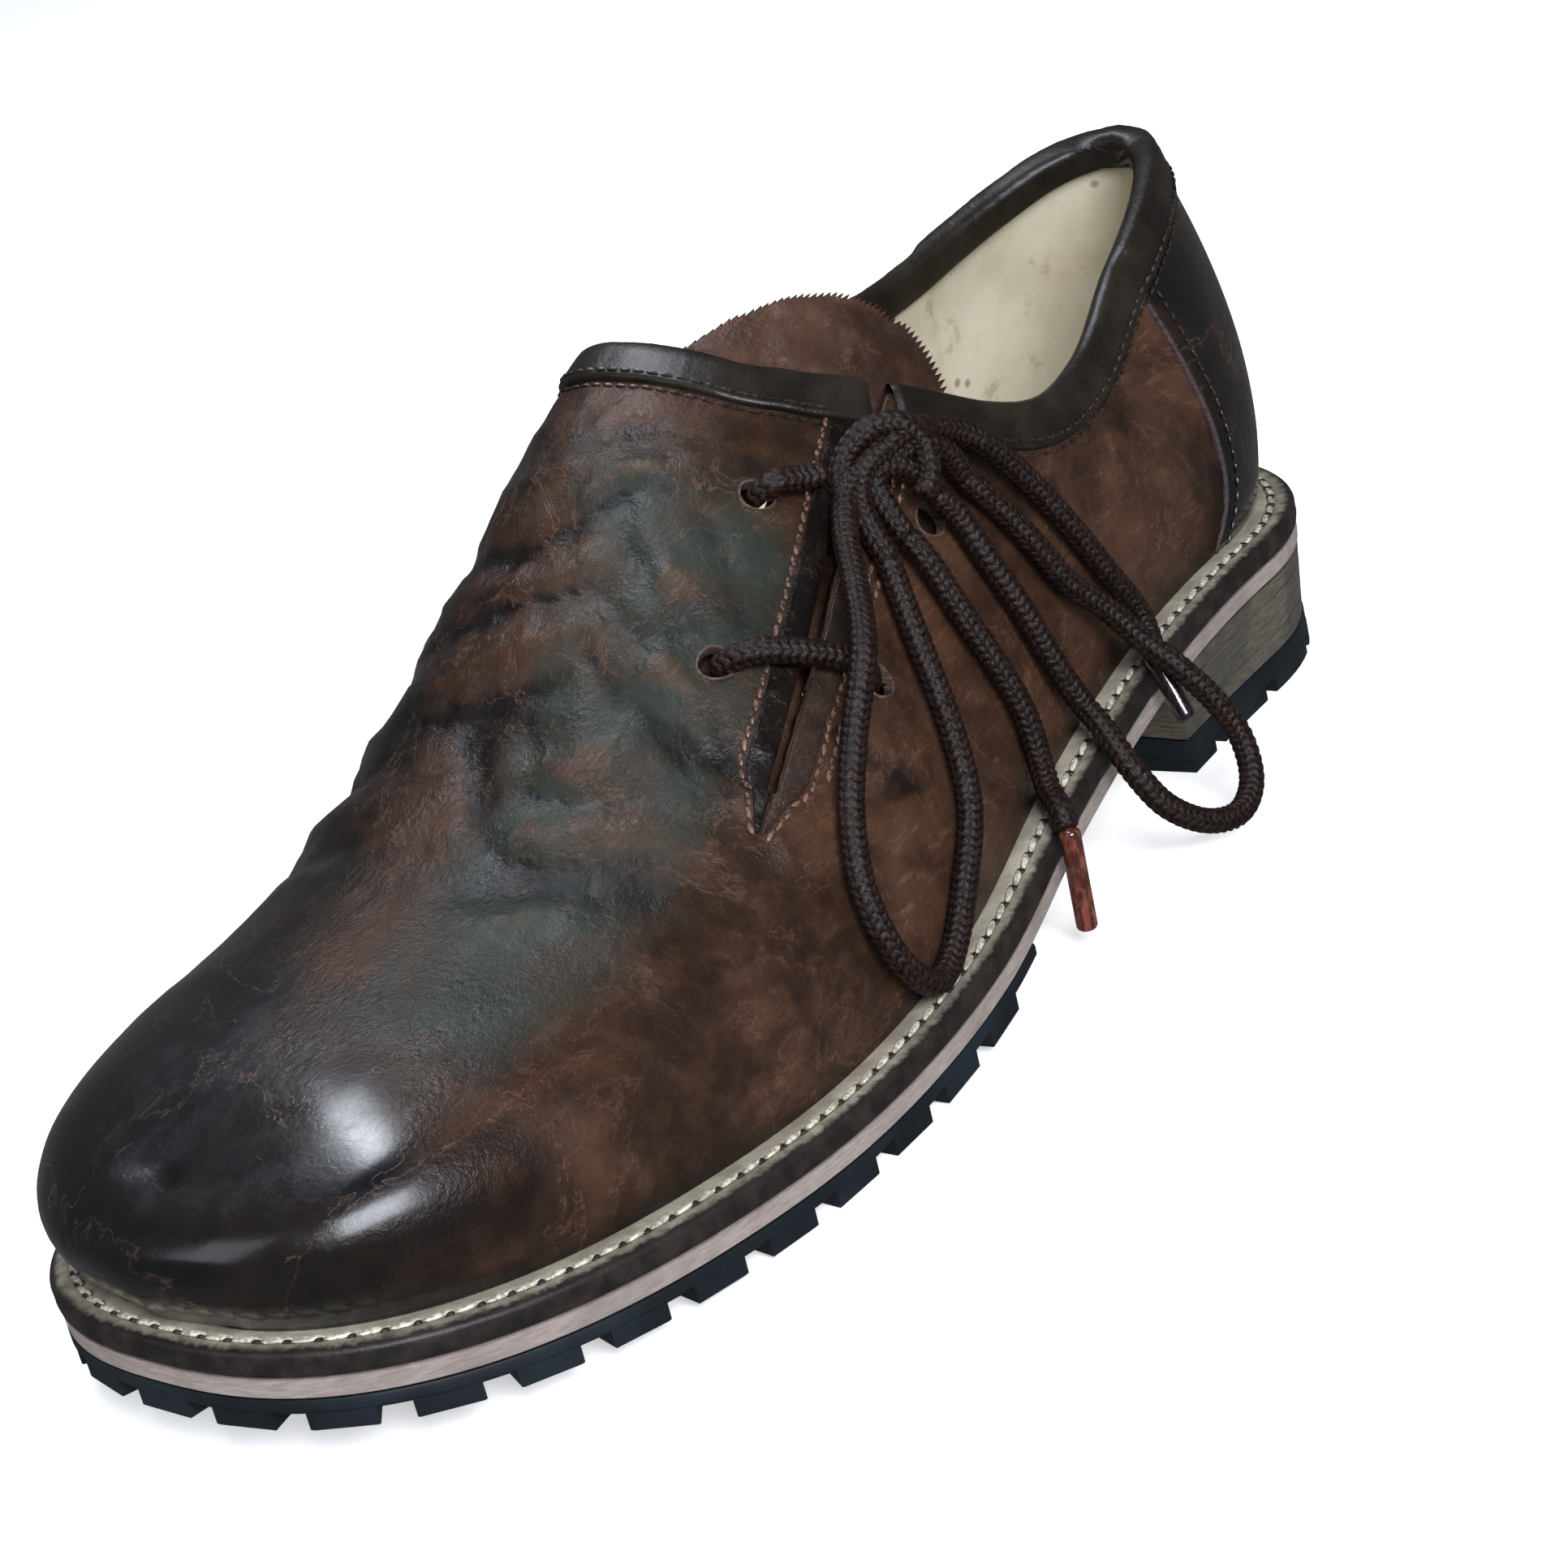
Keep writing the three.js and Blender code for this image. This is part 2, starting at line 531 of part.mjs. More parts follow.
// Strip folded over the leather's edge all round the collar, open at the slit.
function makeCollarBinding() {
  const inner = -WALL - INNER_GAP;
  const profile = [
    { drop: BINDING_WIDTH, out: GAP + 0.1 },
    { drop: BINDING_WIDTH, out: GAP + BINDING },
    { drop: 1, out: GAP + BINDING + 0.2 },
    { drop: -1.4, out: 0.2 },
    { drop: -1.4, out: -WALL },
    { drop: 0.6, out: inner - BINDING },
    { drop: BINDING_WIDTH - 2, out: inner - BINDING },
    { drop: BINDING_WIDTH - 2, out: inner },
    { drop: 0, out: inner },
    { drop: 0, out: GAP },
    { drop: BINDING_WIDTH / 2, out: GAP + 0.1 },
  ];
  const rings = evenRim(BINDING_RINGS).map((k) =>
    profile.map(({ drop, out }) => {
      const { point } = rim(k, Math.max(drop, 0), out);
      const up = rim(k, 0).point.sub(rim(k, 2).point).normalize();
      const raised = (far) => point.clone().addScaledVector(up, far);
      return raised(bisect((far) => aboveTopline(raised(far), drop) < 0, -BINDING_WIDTH, BINDING_WIDTH));
    }),
  );
  return loft(rings, true).subtract(slitCutter());
}

// Sheet under the slit that rises out of the throat in a round, pinked edge.
function makeTongue() {
  const shape = TONGUE_SHAPE;
  const columns = 2 * TEETH;
  const rows = 5;
  const top = -WALL - INNER_GAP - BINDING - 2 * GAP;
  const rings = Array.from({ length: rows + 1 }, (_, i) => {
    const a = i / rows;
    const middle = lerp(shape.tipW, shape.topW, a);
    const half = lerp(shape.tipHalf, shape.topHalf, Math.sin(a * Math.PI * 0.5));
    const line = (out) =>
      Array.from({ length: columns + 1 }, (_, j) => {
        const b = (2 * j) / columns - 1;
        const tooth = i === rows && j % 2 ? PINKING / LENGTH : 0;
        const s = lerp(shape.front, shape.back + shape.corner * b * b, a) + tooth;
        return skin(s, middle + b * half, out).point;
      });
    return [...line(top), ...line(top - TONGUE).reverse()];
  });
  return loft(rings);
}

function makeInsole() {
  const inset = SIDE_MARGIN + WALL + 2 * GAP;
  const boss = WELT_RING + GAP;
  return plate([
    { inset: boss, z: (x) => seat(x) + MIDSOLE },
    { inset: boss, z: weltTop },
    { inset, z: weltTop },
    { inset, z: (x) => weltTop(x) + INSOLE },
  ]);
}

function makeWelt() {
  const low = (x) => seat(x) + MIDSOLE;
  const high = (x) => weltTop(x) - GAP;
  const full = plate([
    { inset: 0, z: low },
    { inset: 0, z: (x) => high(x) - 0.8 },
    { inset: 0.8, z: high },
  ]);
  const middle = plate([
    { inset: WELT_RING, z: (x) => low(x) - 1 },
    { inset: WELT_RING, z: (x) => high(x) + 1 },
  ]);
  return full.subtract(middle);
}

function makeMidsole() {
  return plate([
    { inset: 0.4, z: seat },
    { inset: 0.4, z: (x) => seat(x) + MIDSOLE - GAP },
  ]);
}

// Outline of a block on the sole's edge, narrowed to a waist and again towards the middle.
function lugOutline(walk, at, width, length) {
  const profile = [
    [0, 0.5], [0.5, 0.48], [0.62, 0.32], [1, 0.42],
  ];
  const right = profile.map(([depth, half]) => walk.place(at + half * width, depth * length));
  const left = profile.map(([depth, half]) => walk.place(at - half * width, depth * length)).reverse();
  return [...right, ...left];
}

function crossOutline(x, y) {
  const half = CROSS_SPAN / 2;
  const arm = CROSS_SPAN * 0.15;
  const list = [];
  for (let quarter = 0; quarter < 4; quarter += 1) {
    const turn = (quarter * Math.PI) / 2;
    [[arm, arm], [half * 0.72, arm], [half, 0], [half * 0.72, -arm]].forEach(([u, v]) => {
      list.push(new THREE.Vector2(x + u * Math.cos(turn) + v * Math.sin(turn), y + u * Math.sin(turn) - v * Math.cos(turn)));
    });
  }
  return list;
}

function makeHalfSole() {
  const root = (x) => ground(x) + LUG_DEPTH;
  const base = plate([{ inset: 0.4, z: root }, { inset: 0.4, z: (x) => seat(x) - GAP }], HALF_SOLE_BACK, 1);
  const inBase = (x) => root(x) + 0.6;
  const walk = edgeWalk(HALF_SOLE_BACK + 0.025, 1, "toe");
  const count = Math.floor(walk.length / LUG_PITCH);
  const lugs = Array.from({ length: count }, (_, i) => {
    const at = (walk.length * (i + 0.5)) / count;
    return prism(lugOutline(walk, at, LUG_WIDTH, LUG_LENGTH), ground, inBase);
  });
  const crosses = [];
  [-1, 0, 1].forEach((row) => {
    const ends = row === 0 ? { from: 0.62, to: 0.84 } : { from: 0.58, to: 0.8 };
    const pitch = (CROSS_SPAN + 3) / LENGTH;
    for (let s = ends.from; s < ends.to; s += pitch) {
      const y = centreLine(s) + row * (CROSS_SPAN * 0.86);
      crosses.push(prism(crossOutline(s * LENGTH, y), ground, inBase));
    }
  });
  return unite([base, ...lugs, ...crosses]);
}

function makeHeelStack() {
  const foot = HEEL_TAPER + 0.4;
  const line = (share) => (x) => lerp(HEEL_LIFT, seat(x) - GAP, share);
  return plate([{ inset: foot, z: line(0) }, { inset: 0.6, z: line(1) }], 0, HEEL_BREAST);
}

function makeHeelLift() {
  const inset = HEEL_TAPER + 0.4;
  const slab = plate([{ inset, z: () => 0 }, { inset, z: () => HEEL_LIFT - GAP }], 0, HEEL_BREAST);
  const walk = edgeWalk(0, HEEL_BREAST - 0.03, "heel");
  const { width, length, pitch } = HEEL_GROOVE;
  const count = Math.floor(walk.length / pitch);
  const grooves = Array.from({ length: count }, (_, i) => {
    const at = (walk.length * (i + 0.5)) / count;
    const corner = (u, v) => walk.place(at + u * width, v);
    const outline = [corner(-0.5, -3), corner(0.5, -3), corner(0.5, length * 0.7), corner(0, length), corner(-0.5, length * 0.7)];
    return prism(outline, () => -1, () => LUG_DEPTH);
  });
  return slab.subtract(unite(grooves));
}

const vector = ([x, y, z]) => new THREE.Vector3(x, y, z);

// Round cord or tube through points.
function tube(points, diameter, steps, sides) {
  const circle = new THREE.Shape();
  circle.absarc(0, 0, diameter / 2, 0, 2 * Math.PI);
  const path = points.length > 2 ? new THREE.CatmullRomCurve3(points, false, "centripetal") : new THREE.LineCurve3(...points);
  return toSolid(new THREE.ExtrudeGeometry(circle, { steps, extrudePath: path, curveSegments: sides / 2 }));
}

// Bar of the lace across the slit, just clear of the leather.
function makeBar(from, to) {
  const steps = 5;
  const points = Array.from({ length: steps + 1 }, (_, i) => {
    const k = i / steps;
    return skin(lerp(from.s, to.s, k), lerp(from.w, to.w, k), LACE / 2 + GAP + 0.2).point;
  });
  return tube(points, LACE, 6, 8);
}

function makeKnot() {
  const ball = new THREE.SphereGeometry(1, 14, 8);
  ball.scale(...KNOT.size);
  const { normal } = skin(EYELETS.quarter_upper.s, 0.475);
  ball.applyQuaternion(new THREE.Quaternion().setFromUnitVectors(new THREE.Vector3(0, 0, 1), normal));
  ball.translate(...KNOT.at);
  return toSolid(ball);
}

const material = (color, roughness) => new THREE.MeshStandardMaterial({ color, roughness, metalness: 0 });
const LEATHER = material(0x3b2418, 0.35);
const BINDING_LEATHER = material(0x2a221b, 0.4);
const TONGUE_LEATHER = material(0x4a2f20, 0.5);
const INSOLE_LEATHER = material(0xcfc2a3, 0.7);
const WELT_LEATHER = material(0xb5a273, 0.6);
const MIDSOLE_LEATHER = material(0xa48d80, 0.75);
const RUBBER = material(0x151c22, 0.55);
const HEEL_LEATHER = material(0x5c5648, 0.7);
const LACE_BRAID = material(0x2a1c18, 0.8);
const AGLET_TIP = material(0x5a2e22, 0.4);

const part = new THREE.Group();

function add(name, solid, look) {
  const mesh = new THREE.Mesh(toGeometry(solid), look);
  mesh.name = name;
  part.add(mesh);
  return mesh;
}

add("upper", makeUpper(), LEATHER);
add("collar_binding", makeCollarBinding(), BINDING_LEATHER);
add("tongue", makeTongue(), TONGUE_LEATHER);
add("insole", makeInsole(), INSOLE_LEATHER);
const welt = add("welt", makeWelt(), WELT_LEATHER);
add("midsole", makeMidsole(), MIDSOLE_LEATHER);
add("half_sole", makeHalfSole(), RUBBER);
add("heel_stack", makeHeelStack(), HEEL_LEATHER);
add("heel_lift", makeHeelLift(), RUBBER);
add("lace_bar_lower", makeBar(EYELETS.vamp_lower, EYELETS.quarter_lower), LACE_BRAID);
add("lace_bar_upper", makeBar(EYELETS.vamp_upper, { s: 0.456, w: 0.405 }), LACE_BRAID);
add("lace_knot", makeKnot(), LACE_BRAID);
Object.entries(LACE_ROUTES).forEach(([name, route]) => {
  const points = route.map(vector);
  const length = new THREE.CatmullRomCurve3(points, false, "centripetal").getLength();
  add(name, tube(points, LACE, Math.round(length / (2.4 * LACE)), 8), LACE_BRAID);
});
Object.entries(AGLETS).forEach(([name, { from, to }]) => {
  add(name, tube([vector(from), vector(to)], AGLET, 1, 8), AGLET_TIP);
});

// The origin is on the floor, under the middle of the sole.
const middle = new THREE.Box3().setFromObject(welt).getCenter(new THREE.Vector3());
part.position.set(-middle.x, -middle.y, 0);

export default part;
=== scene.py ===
"""Looks of a traditional side-laced leather shoe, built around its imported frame.

Lengths are millimetres until a piece is finished. Then its mesh is moved into the frame, in metres.
"""

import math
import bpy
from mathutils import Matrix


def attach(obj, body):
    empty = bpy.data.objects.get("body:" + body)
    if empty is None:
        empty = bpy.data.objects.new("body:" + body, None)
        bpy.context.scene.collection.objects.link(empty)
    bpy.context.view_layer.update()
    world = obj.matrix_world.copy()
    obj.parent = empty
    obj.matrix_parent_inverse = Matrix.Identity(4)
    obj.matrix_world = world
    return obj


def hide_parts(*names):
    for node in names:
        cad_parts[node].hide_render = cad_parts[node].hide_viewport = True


bl_info = {
    "name": "Side-laced leather shoe",
    "version": (1, 0, 0),
    "blender": (4, 5, 0),
    "location": "View3D > Sidebar > Shoe",
    "description": "Builds a traditional side-laced leather shoe with a stitched welt and a lugged sole",
    "category": "Add Mesh",
}

import bmesh
import bpy
import numpy as np
from mathutils import Matrix, Vector, noise as fractal

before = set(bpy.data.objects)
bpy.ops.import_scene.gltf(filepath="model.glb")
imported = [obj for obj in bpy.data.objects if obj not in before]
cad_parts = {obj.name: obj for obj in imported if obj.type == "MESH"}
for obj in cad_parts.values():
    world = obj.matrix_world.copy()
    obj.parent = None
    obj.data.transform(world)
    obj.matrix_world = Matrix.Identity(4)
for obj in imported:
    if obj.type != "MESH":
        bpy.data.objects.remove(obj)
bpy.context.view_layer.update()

# Main sizes of the shoe, in millimetres
LENGTH = 302.0
BALL_WIDTH = 112.6
HEEL_WIDTH = 73.4
INSTEP_HEIGHT = 103.0
COLLAR_HEIGHT = 97.0
TOE_SPRING = 9.0
HEEL_LIFT = 7.0
HEEL_STACK = 14.7
HALF_SOLE = 5.4
FLAT_PRESS = 0.35
MIDSOLE = 3.6
WELT = 4.6
SHANK = (40.0, 205.0)
SIDE_MARGIN = 7.0
HEEL_PROFILE = (6.0, -11.0, 14.0, 14.0)
TOE_PROFILE = (6.5, -9.0, 14.0, 14.0)
COUNTER_STEP = 0.8
BINDING_WIDTH = 7.5
INSOLE = 3.0
EYELET = 5.6
LACE = 4.4
AGLET = 3.6
LUG_DEPTH = 3.0
HEEL_BREAST = 0.25
HALF_SOLE_BACK = 0.5
HEEL_TAPER = 1.2
SIDE_BLEND = 25.0
COLLAR_CENTRE = 0.22

# Pattern of the tread: pitch, width and length of the lugs, span and pitch of the crosses, the heel's pads
LUG_PITCH = 15
LUG_WIDTH = 10
LUG_LENGTH = 28
CROSS_SPAN = 21
CROSS_PITCH = 24
CROSS_ROWS = 0.86
PAD_PITCH = 19
PAD_GAP = 2
PAD_REACH = (1.3, 12.6)
CORE_INSET = 11

# Length, width and height of one stitch of each seam
WELT_STITCH = (4.7, 1.25, 0.9)
# WELT_HOLE sizes the dark marks of painted shade for the welt's stitch holes.
WELT_HOLE = (1.5, 2.0, 0.9)
COLLAR_STITCH = (2.3, 0.75, 0.6)
SLIT_STITCH = (2.3, 0.9, 0.7)
COUNTER_STITCH = (2.1, 0.75, 0.6)

# Plan of the sole: centre line as a share of the ball width, spread from heel width (0) to ball width (1)
PLAN = [
    {"at": 0, "centre": -0.004, "spread": 0},
    {"at": 0.126, "centre": -0.001, "spread": 0.008},
    {"at": 0.25, "centre": 0.014, "spread": 0.046},
    {"at": 0.4, "centre": 0.05, "spread": 0.2},
    {"at": 0.546, "centre": 0.06, "spread": 0.663},
    {"at": 0.68, "centre": 0.024, "spread": 1},
    {"at": 0.8, "centre": 0.013, "spread": 1},
    {"at": 1, "centre": 0.013, "spread": 1},
]
HEEL_ROUND = {"share": 0.126, "power": 2.1}
TOE_ROUND = {"share": 0.321, "power": 2.5}

# Sections of the last: heights as shares of the instep height, widths as shares of the ball or half width
COLUMNS = ("at", "crown", "ridge", "wall", "bulge_in", "bulge_out", "shoulder_in", "shoulder_out")
SECTIONS = [
    dict(zip(COLUMNS, row))
    for row in (
        (0, 1.126, 0, 0.42, 0.027, 0.027, 0.45, 0.45),
        (0.1, 1.126, -0.027, 0.42, 0.036, 0.036, 0.45, 0.45),
        (0.22, 1.117, -0.089, 0.45, 0.027, 0.027, 0.6, 0.5),
        (0.34, 1.078, -0.178, 0.45, 0.018, 0, 0.84, 0.65),
        (0.43, 1, -0.231, 0.45, 0.027, -0.018, 0.96, 0.85),
        (0.52, 0.893, -0.195, 0.45, 0.036, -0.009, 0.92, 0.88),
        (0.6, 0.757, -0.142, 0.45, 0.036, 0.018, 0.9, 0.85),
        (0.68, 0.612, -0.089, 0.5, 0.036, 0.036, 0.85, 0.82),
        (0.76, 0.524, -0.044, 0.6, 0.044, 0.053, 0.85, 0.82),
        (0.86, 0.485, -0.018, 0.72, 0.071, 0.062, 0.88, 0.85),
        (0.94, 0.456, 0, 0.78, 0.098, 0.071, 0.88, 0.85),
        (1, 0.408, 0, 0.8, 0.098, 0.071, 0.88, 0.85),
    )
]
TOPLINE = [
    dict(zip(("at", "outer", "inner"), row))
    for row in (
        (-0.017, 1.021, 1.021), (0.04, 1, 1), (0.083, 0.959, 0.954), (0.149, 0.876, 0.897),
        (0.215, 0.778, 0.871), (0.265, 0.758, 0.866), (0.305, 0.799, 0.881), (0.341, 0.866, 0.912),
        (0.374, 0.923, 0.954), (0.404, 0.969, 1), (0.424, 1.01, 1.036), (0.44, 1.103, 1.103),
        (0.464, 1.443, 1.443),
    )
]
COUNTER_LINE = [
    {"at": 0.4, "s": 0.137}, {"at": 0.645, "s": 0.133}, {"at": 0.72, "s": 0.13},
    {"at": 0.83, "s": 0.124}, {"at": 0.945, "s": 0.125}, {"at": 1, "s": 0.137},
]

# Places on the upper: s from heel (0) to toe (1), w from the ridge (0) to the outer (1) or inner (-1) welt
SLIT_TOP = (0.359, 0.425)
SLIT_TIP = (0.622, 0.517)
SLIT_WIDTH = 4.4
SLIT_TIP_WIDTH = 1.4
EYELETS = {
    "vamp_upper": (0.484, 0.332),
    "vamp_lower": (0.588, 0.344),
    "quarter_upper": (0.393, 0.598),
    "quarter_lower": (0.511, 0.622),
}
TONGUE = {
    "front": 0.665, "back": 0.288, "corner": 0.135,
    "tip_w": 0.52, "top_w": 0.4, "tip_half": 0.1, "top_half": 0.38,
}

FOLD_HEIGHT = 1.6
FOLD_BREADTH = 0.85

# Folds of the leather: height of the ridge (minus for a trough), its half breadth, its line
FOLDS = [
    (0.9, 3.0, ((0.56, -0.05), (0.55, 0.01), (0.52, 0.09), (0.5, 0.18), (0.47, 0.26))),
    (-1.1, 3.2, ((0.56, -0.26), (0.57, -0.06), (0.55, 0.03), (0.53, 0.1), (0.51, 0.19))),
    (0.8, 2.6, ((0.58, -0.3), (0.59, -0.14), (0.59, -0.01), (0.57, 0.08))),
    (-1.0, 3.0, ((0.61, -0.28), (0.61, -0.15), (0.6, -0.04), (0.59, 0.05), (0.58, 0.1))),
    (0.9, 3.0, ((0.64, -0.26), (0.64, -0.1), (0.62, 0.01), (0.61, 0.09), (0.59, 0.18))),
    (-0.9, 3.2, ((0.66, -0.24), (0.66, -0.1), (0.65, 0.02), (0.63, 0.1))),
    (-1.0, 2.2, ((0.585, 0.12), (0.597, 0.17), (0.597, 0.22), (0.584, 0.28), (0.572, 0.32))),
    (0.9, 5.0, ((0.555, 0.2), (0.565, 0.25), (0.555, 0.3))),
    (-0.7, 1.6, ((0.55, 0.12), (0.562, 0.165), (0.577, 0.21))),
    (-0.8, 1.8, ((0.617, 0.11), (0.627, 0.17), (0.637, 0.225))),
    (-1.0, 2.4, ((0.63, 0.25), (0.637, 0.32), (0.63, 0.4), (0.62, 0.45))),
    (0.9, 5.0, ((0.6, 0.22), (0.61, 0.28), (0.6, 0.34))),
    (-0.9, 1.8, ((0.7, 0.08), (0.697, 0.16), (0.685, 0.25), (0.67, 0.3))),
    (0.9, 4.5, ((0.68, 0.12), (0.675, 0.18), (0.665, 0.24))),
    (-0.8, 2.4, ((0.66, -0.06), (0.69, -0.01), (0.72, 0.04), (0.74, 0.11))),
    (-0.8, 2.2, ((0.75, 0.09), (0.735, 0.2), (0.715, 0.31), (0.69, 0.38))),
    (0.7, 4.0, ((0.725, 0.1), (0.71, 0.2), (0.69, 0.3))),
    (0.7, 3.4, ((0.785, 0.15), (0.767, 0.23), (0.743, 0.31))),
    (-0.7, 3.0, ((0.77, 0.06), (0.755, 0.17), (0.73, 0.34), (0.695, 0.47))),
    (-0.2, 5.5, ((0.92, -0.05), (0.893, 0.17), (0.85, 0.36), (0.79, 0.53), (0.75, 0.61))),
    (-0.7, 1.8, ((0.605, 0.35), (0.618, 0.39), (0.632, 0.44), (0.65, 0.467))),
    (-0.6, 2.0, ((0.585, -0.28), (0.612, -0.23), (0.64, -0.18))),
    (-0.7, 2.0, ((0.655, -0.02), (0.682, 0.01), (0.708, 0.05))),
    (-0.7, 1.8, ((0.655, 0.055), (0.675, 0.095), (0.7, 0.115))),
    (-0.5, 2.5, ((0.605, 0.61), (0.566, 0.695), (0.516, 0.78))),
    (0.5, 3.5, ((0.607, 0.63), (0.573, 0.72), (0.528, 0.82))),
    (-0.5, 2.5, ((0.609, 0.65), (0.58, 0.755), (0.54, 0.865))),
    (-0.5, 3.0, ((0.563, 0.545), (0.552, 0.65), (0.528, 0.75))),
    (-0.5, 3.0, ((0.653, 0.44), (0.655, 0.55), (0.63, 0.69))),
    (-0.7, 2.2, ((0.513, 0.24), (0.537, 0.32), (0.562, 0.365))),
    (0.6, 3.4, ((0.51, 0.2), (0.53, 0.28), (0.55, 0.33))),
    (-0.6, 1.8, ((0.513, 0.18), (0.525, 0.26), (0.545, 0.285))),
    (-0.6, 2.4, ((0.508, 0.01), (0.49, 0.06), (0.477, 0.19))),
    (0.6, 2.6, ((0.52, -0.2), (0.525, -0.1), (0.515, 0.0))),
    (-0.7, 3.0, ((0.54, -0.45), (0.55, -0.34), (0.55, -0.2))),
    (0.7, 3.4, ((0.57, -0.5), (0.585, -0.4), (0.595, -0.28))),
    (-0.8, 3.4, ((0.6, -0.55), (0.615, -0.42), (0.625, -0.3))),
    (0.7, 3.6, ((0.63, -0.6), (0.645, -0.45), (0.65, -0.3))),
    (-0.8, 3.6, ((0.66, -0.62), (0.675, -0.45), (0.68, -0.28), (0.68, -0.1))),
    (0.6, 4.0, ((0.69, -0.55), (0.705, -0.38), (0.71, -0.2))),
    (-0.6, 4.0, ((0.72, -0.55), (0.735, -0.38), (0.74, -0.15))),
    (-0.2, 5.5, ((0.75, -0.61), (0.79, -0.53), (0.85, -0.36), (0.893, -0.17))),
    (-0.5, 3.0, ((0.44, -0.7), (0.4, -0.55), (0.36, -0.45))),
    (-0.5, 3.5, ((0.48, -0.85), (0.45, -0.7), (0.43, -0.5))),
]

# Routes of the lace
LACE_ROUTES = {
    "lace_loop_front": [
        (136.5, 23, 79), (143, 27, 75), (149, 32, 71.6), (160.4, 40.2, 65.3), (171.5, 43.4, 55),
        (180, 46.7, 46.2), (185.5, 50.5, 37.5), (186.5, 53.8, 28.5), (183.5, 55.2, 21.5), (178, 54.8, 17.6),
        (171.5, 53.4, 19), (162, 51, 26), (153, 48, 34.5), (148, 44, 43.5), (145, 40, 52.5), (141, 34.5, 62),
        (136.8, 29.4, 70),
    ],
    "lace_end_front": [
        (129.5, 28, 71), (128.8, 31, 66), (128, 35, 56.5), (126.5, 38.5, 47), (125, 41, 37),
        (125.5, 42.5, 28.5), (128.8, 45.6, 25), (132, 49.5, 23.6), (133.8, 51.6, 20.6),
    ],
    "lace_loop_back": [
        (119, 27.3, 73.8), (116, 29, 68.5), (115, 32, 61), (113, 36, 50), (111, 38.6, 39.5),
        (108.5, 41, 30.6), (110, 45.2, 27.2), (111.5, 50.5, 20.8), (109, 54.2, 13), (102.5, 57.4, 7),
        (94.5, 58.8, 4.9), (87.6, 57.6, 7.4), (84, 54.6, 13.6), (85.6, 51.6, 21.4), (88, 47.4, 28.4),
        (90, 42.6, 34), (93.2, 38.4, 41.5), (98, 35.4, 48), (102, 33, 57), (105.5, 29.6, 65.5),
        (109.5, 26.5, 72.8),
    ],
    "lace_end_back": [
        (113.4, 24.4, 82.6), (107.4, 25.4, 80), (102.5, 27, 75.8), (96.5, 29.4, 67.2), (91, 32.6, 56),
        (85.5, 35.1, 44), (81.2, 36.3, 35.6), (81.2, 37.4, 31.8), (83.4, 39.2, 30.2), (85.4, 40.7, 29.6),
    ],
}
LACE_STEP = 0.28
WELT_PITCH = 4.6
AGLETS = {
    "aglet_front": ((134.3, 52.2, 19.6), (136.2, 53.2, 3.4)),
    "aglet_back": ((86.5, 41.6, 29), (88.5, 47.5, 18.5)),
}


# Numbers and curves


def along(table, column, at):
    """Smooth value of one column of a table at a place between its rows."""
    x = np.array([row["at"] for row in table], float)
    y = np.array([row[column] for row in table], float)
    slope = np.diff(y) / np.diff(x)
    tangent = np.empty_like(x)
    tangent[0] = slope[0]
    tangent[-1] = slope[-1]
    before, after = np.diff(x)[:-1], np.diff(x)[1:]
    tangent[1:-1] = (slope[:-1] * after + slope[1:] * before) / (before + after)
    at = np.clip(np.asarray(at, float), x[0], x[-1])
    i = np.clip(np.searchsorted(x, at, side="left") - 1, 0, len(x) - 2)
    step = x[i + 1] - x[i]
    t = (at - x[i]) / step
    return (
        (2 * t**3 - 3 * t**2 + 1) * y[i]
        + (t**3 - 2 * t**2 + t) * step * tangent[i]
        + (3 * t**2 - 2 * t**3) * y[i + 1]
        + (t**3 - t**2) * step * tangent[i + 1]
    )


def smooth(low, high, x):
    k = np.clip((np.asarray(x, float) - low) / (high - low), 0, 1)
    return k * k * (3 - 2 * k)


def bezier(handles, t):
    a, b, c, d = handles
    u = 1 - t
    return a * u**3 + 3 * b * t * u**2 + 3 * c * t**2 * u + d * t**3


def unit(v):
    return v / np.maximum(np.linalg.norm(v, axis=-1, keepdims=True), 1e-9)


def spline(points, count):
    """Evenly spaced points on a smooth curve through the given ones."""
    p = np.asarray(points, float)
    p = np.vstack([2 * p[0] - p[1], p, 2 * p[-1] - p[-2]])
    knots = np.concatenate([[0], np.cumsum(np.sqrt(np.linalg.norm(np.diff(p, axis=0), axis=1)))])
    fine = []
    for i in range(1, len(p) - 2):
        t = np.linspace(knots[i], knots[i + 1], 24, endpoint=False)[:, None]
        t0, t1, t2, t3 = knots[i - 1 : i + 3]
        a1 = (t1 - t) / (t1 - t0) * p[i - 1] + (t - t0) / (t1 - t0) * p[i]
        a2 = (t2 - t) / (t2 - t1) * p[i] + (t - t1) / (t2 - t1) * p[i + 1]
        a3 = (t3 - t) / (t3 - t2) * p[i + 1] + (t - t2) / (t3 - t2) * p[i + 2]
        b1 = (t2 - t) / (t2 - t0) * a1 + (t - t0) / (t2 - t0) * a2
        b2 = (t3 - t) / (t3 - t1) * a2 + (t - t1) / (t3 - t1) * a3
        fine.append((t2 - t) / (t2 - t1) * b1 + (t - t1) / (t2 - t1) * b2)
    return even(np.vstack(fine + [p[-2:-1]]), count=count)


def distances(points):
    """Length of a line up to each of its points."""
    return np.concatenate([[0], np.cumsum(np.linalg.norm(np.diff(points, axis=0), axis=1))])


def nearest(share, count):
    """Which of the steps from 0 to count a share from 0 to 1 stands for."""
    return np.round(share * count).astype(int)


def even(points, count=None, pitch=None):
    """The same line with evenly spaced points."""
    d = distances(points)
    count = count or max(2, int(round(d[-1] / pitch)) + 1)
    at = np.linspace(0, d[-1], count)
    return np.column_stack([np.interp(at, d, points[:, i]) for i in range(points.shape[1])])


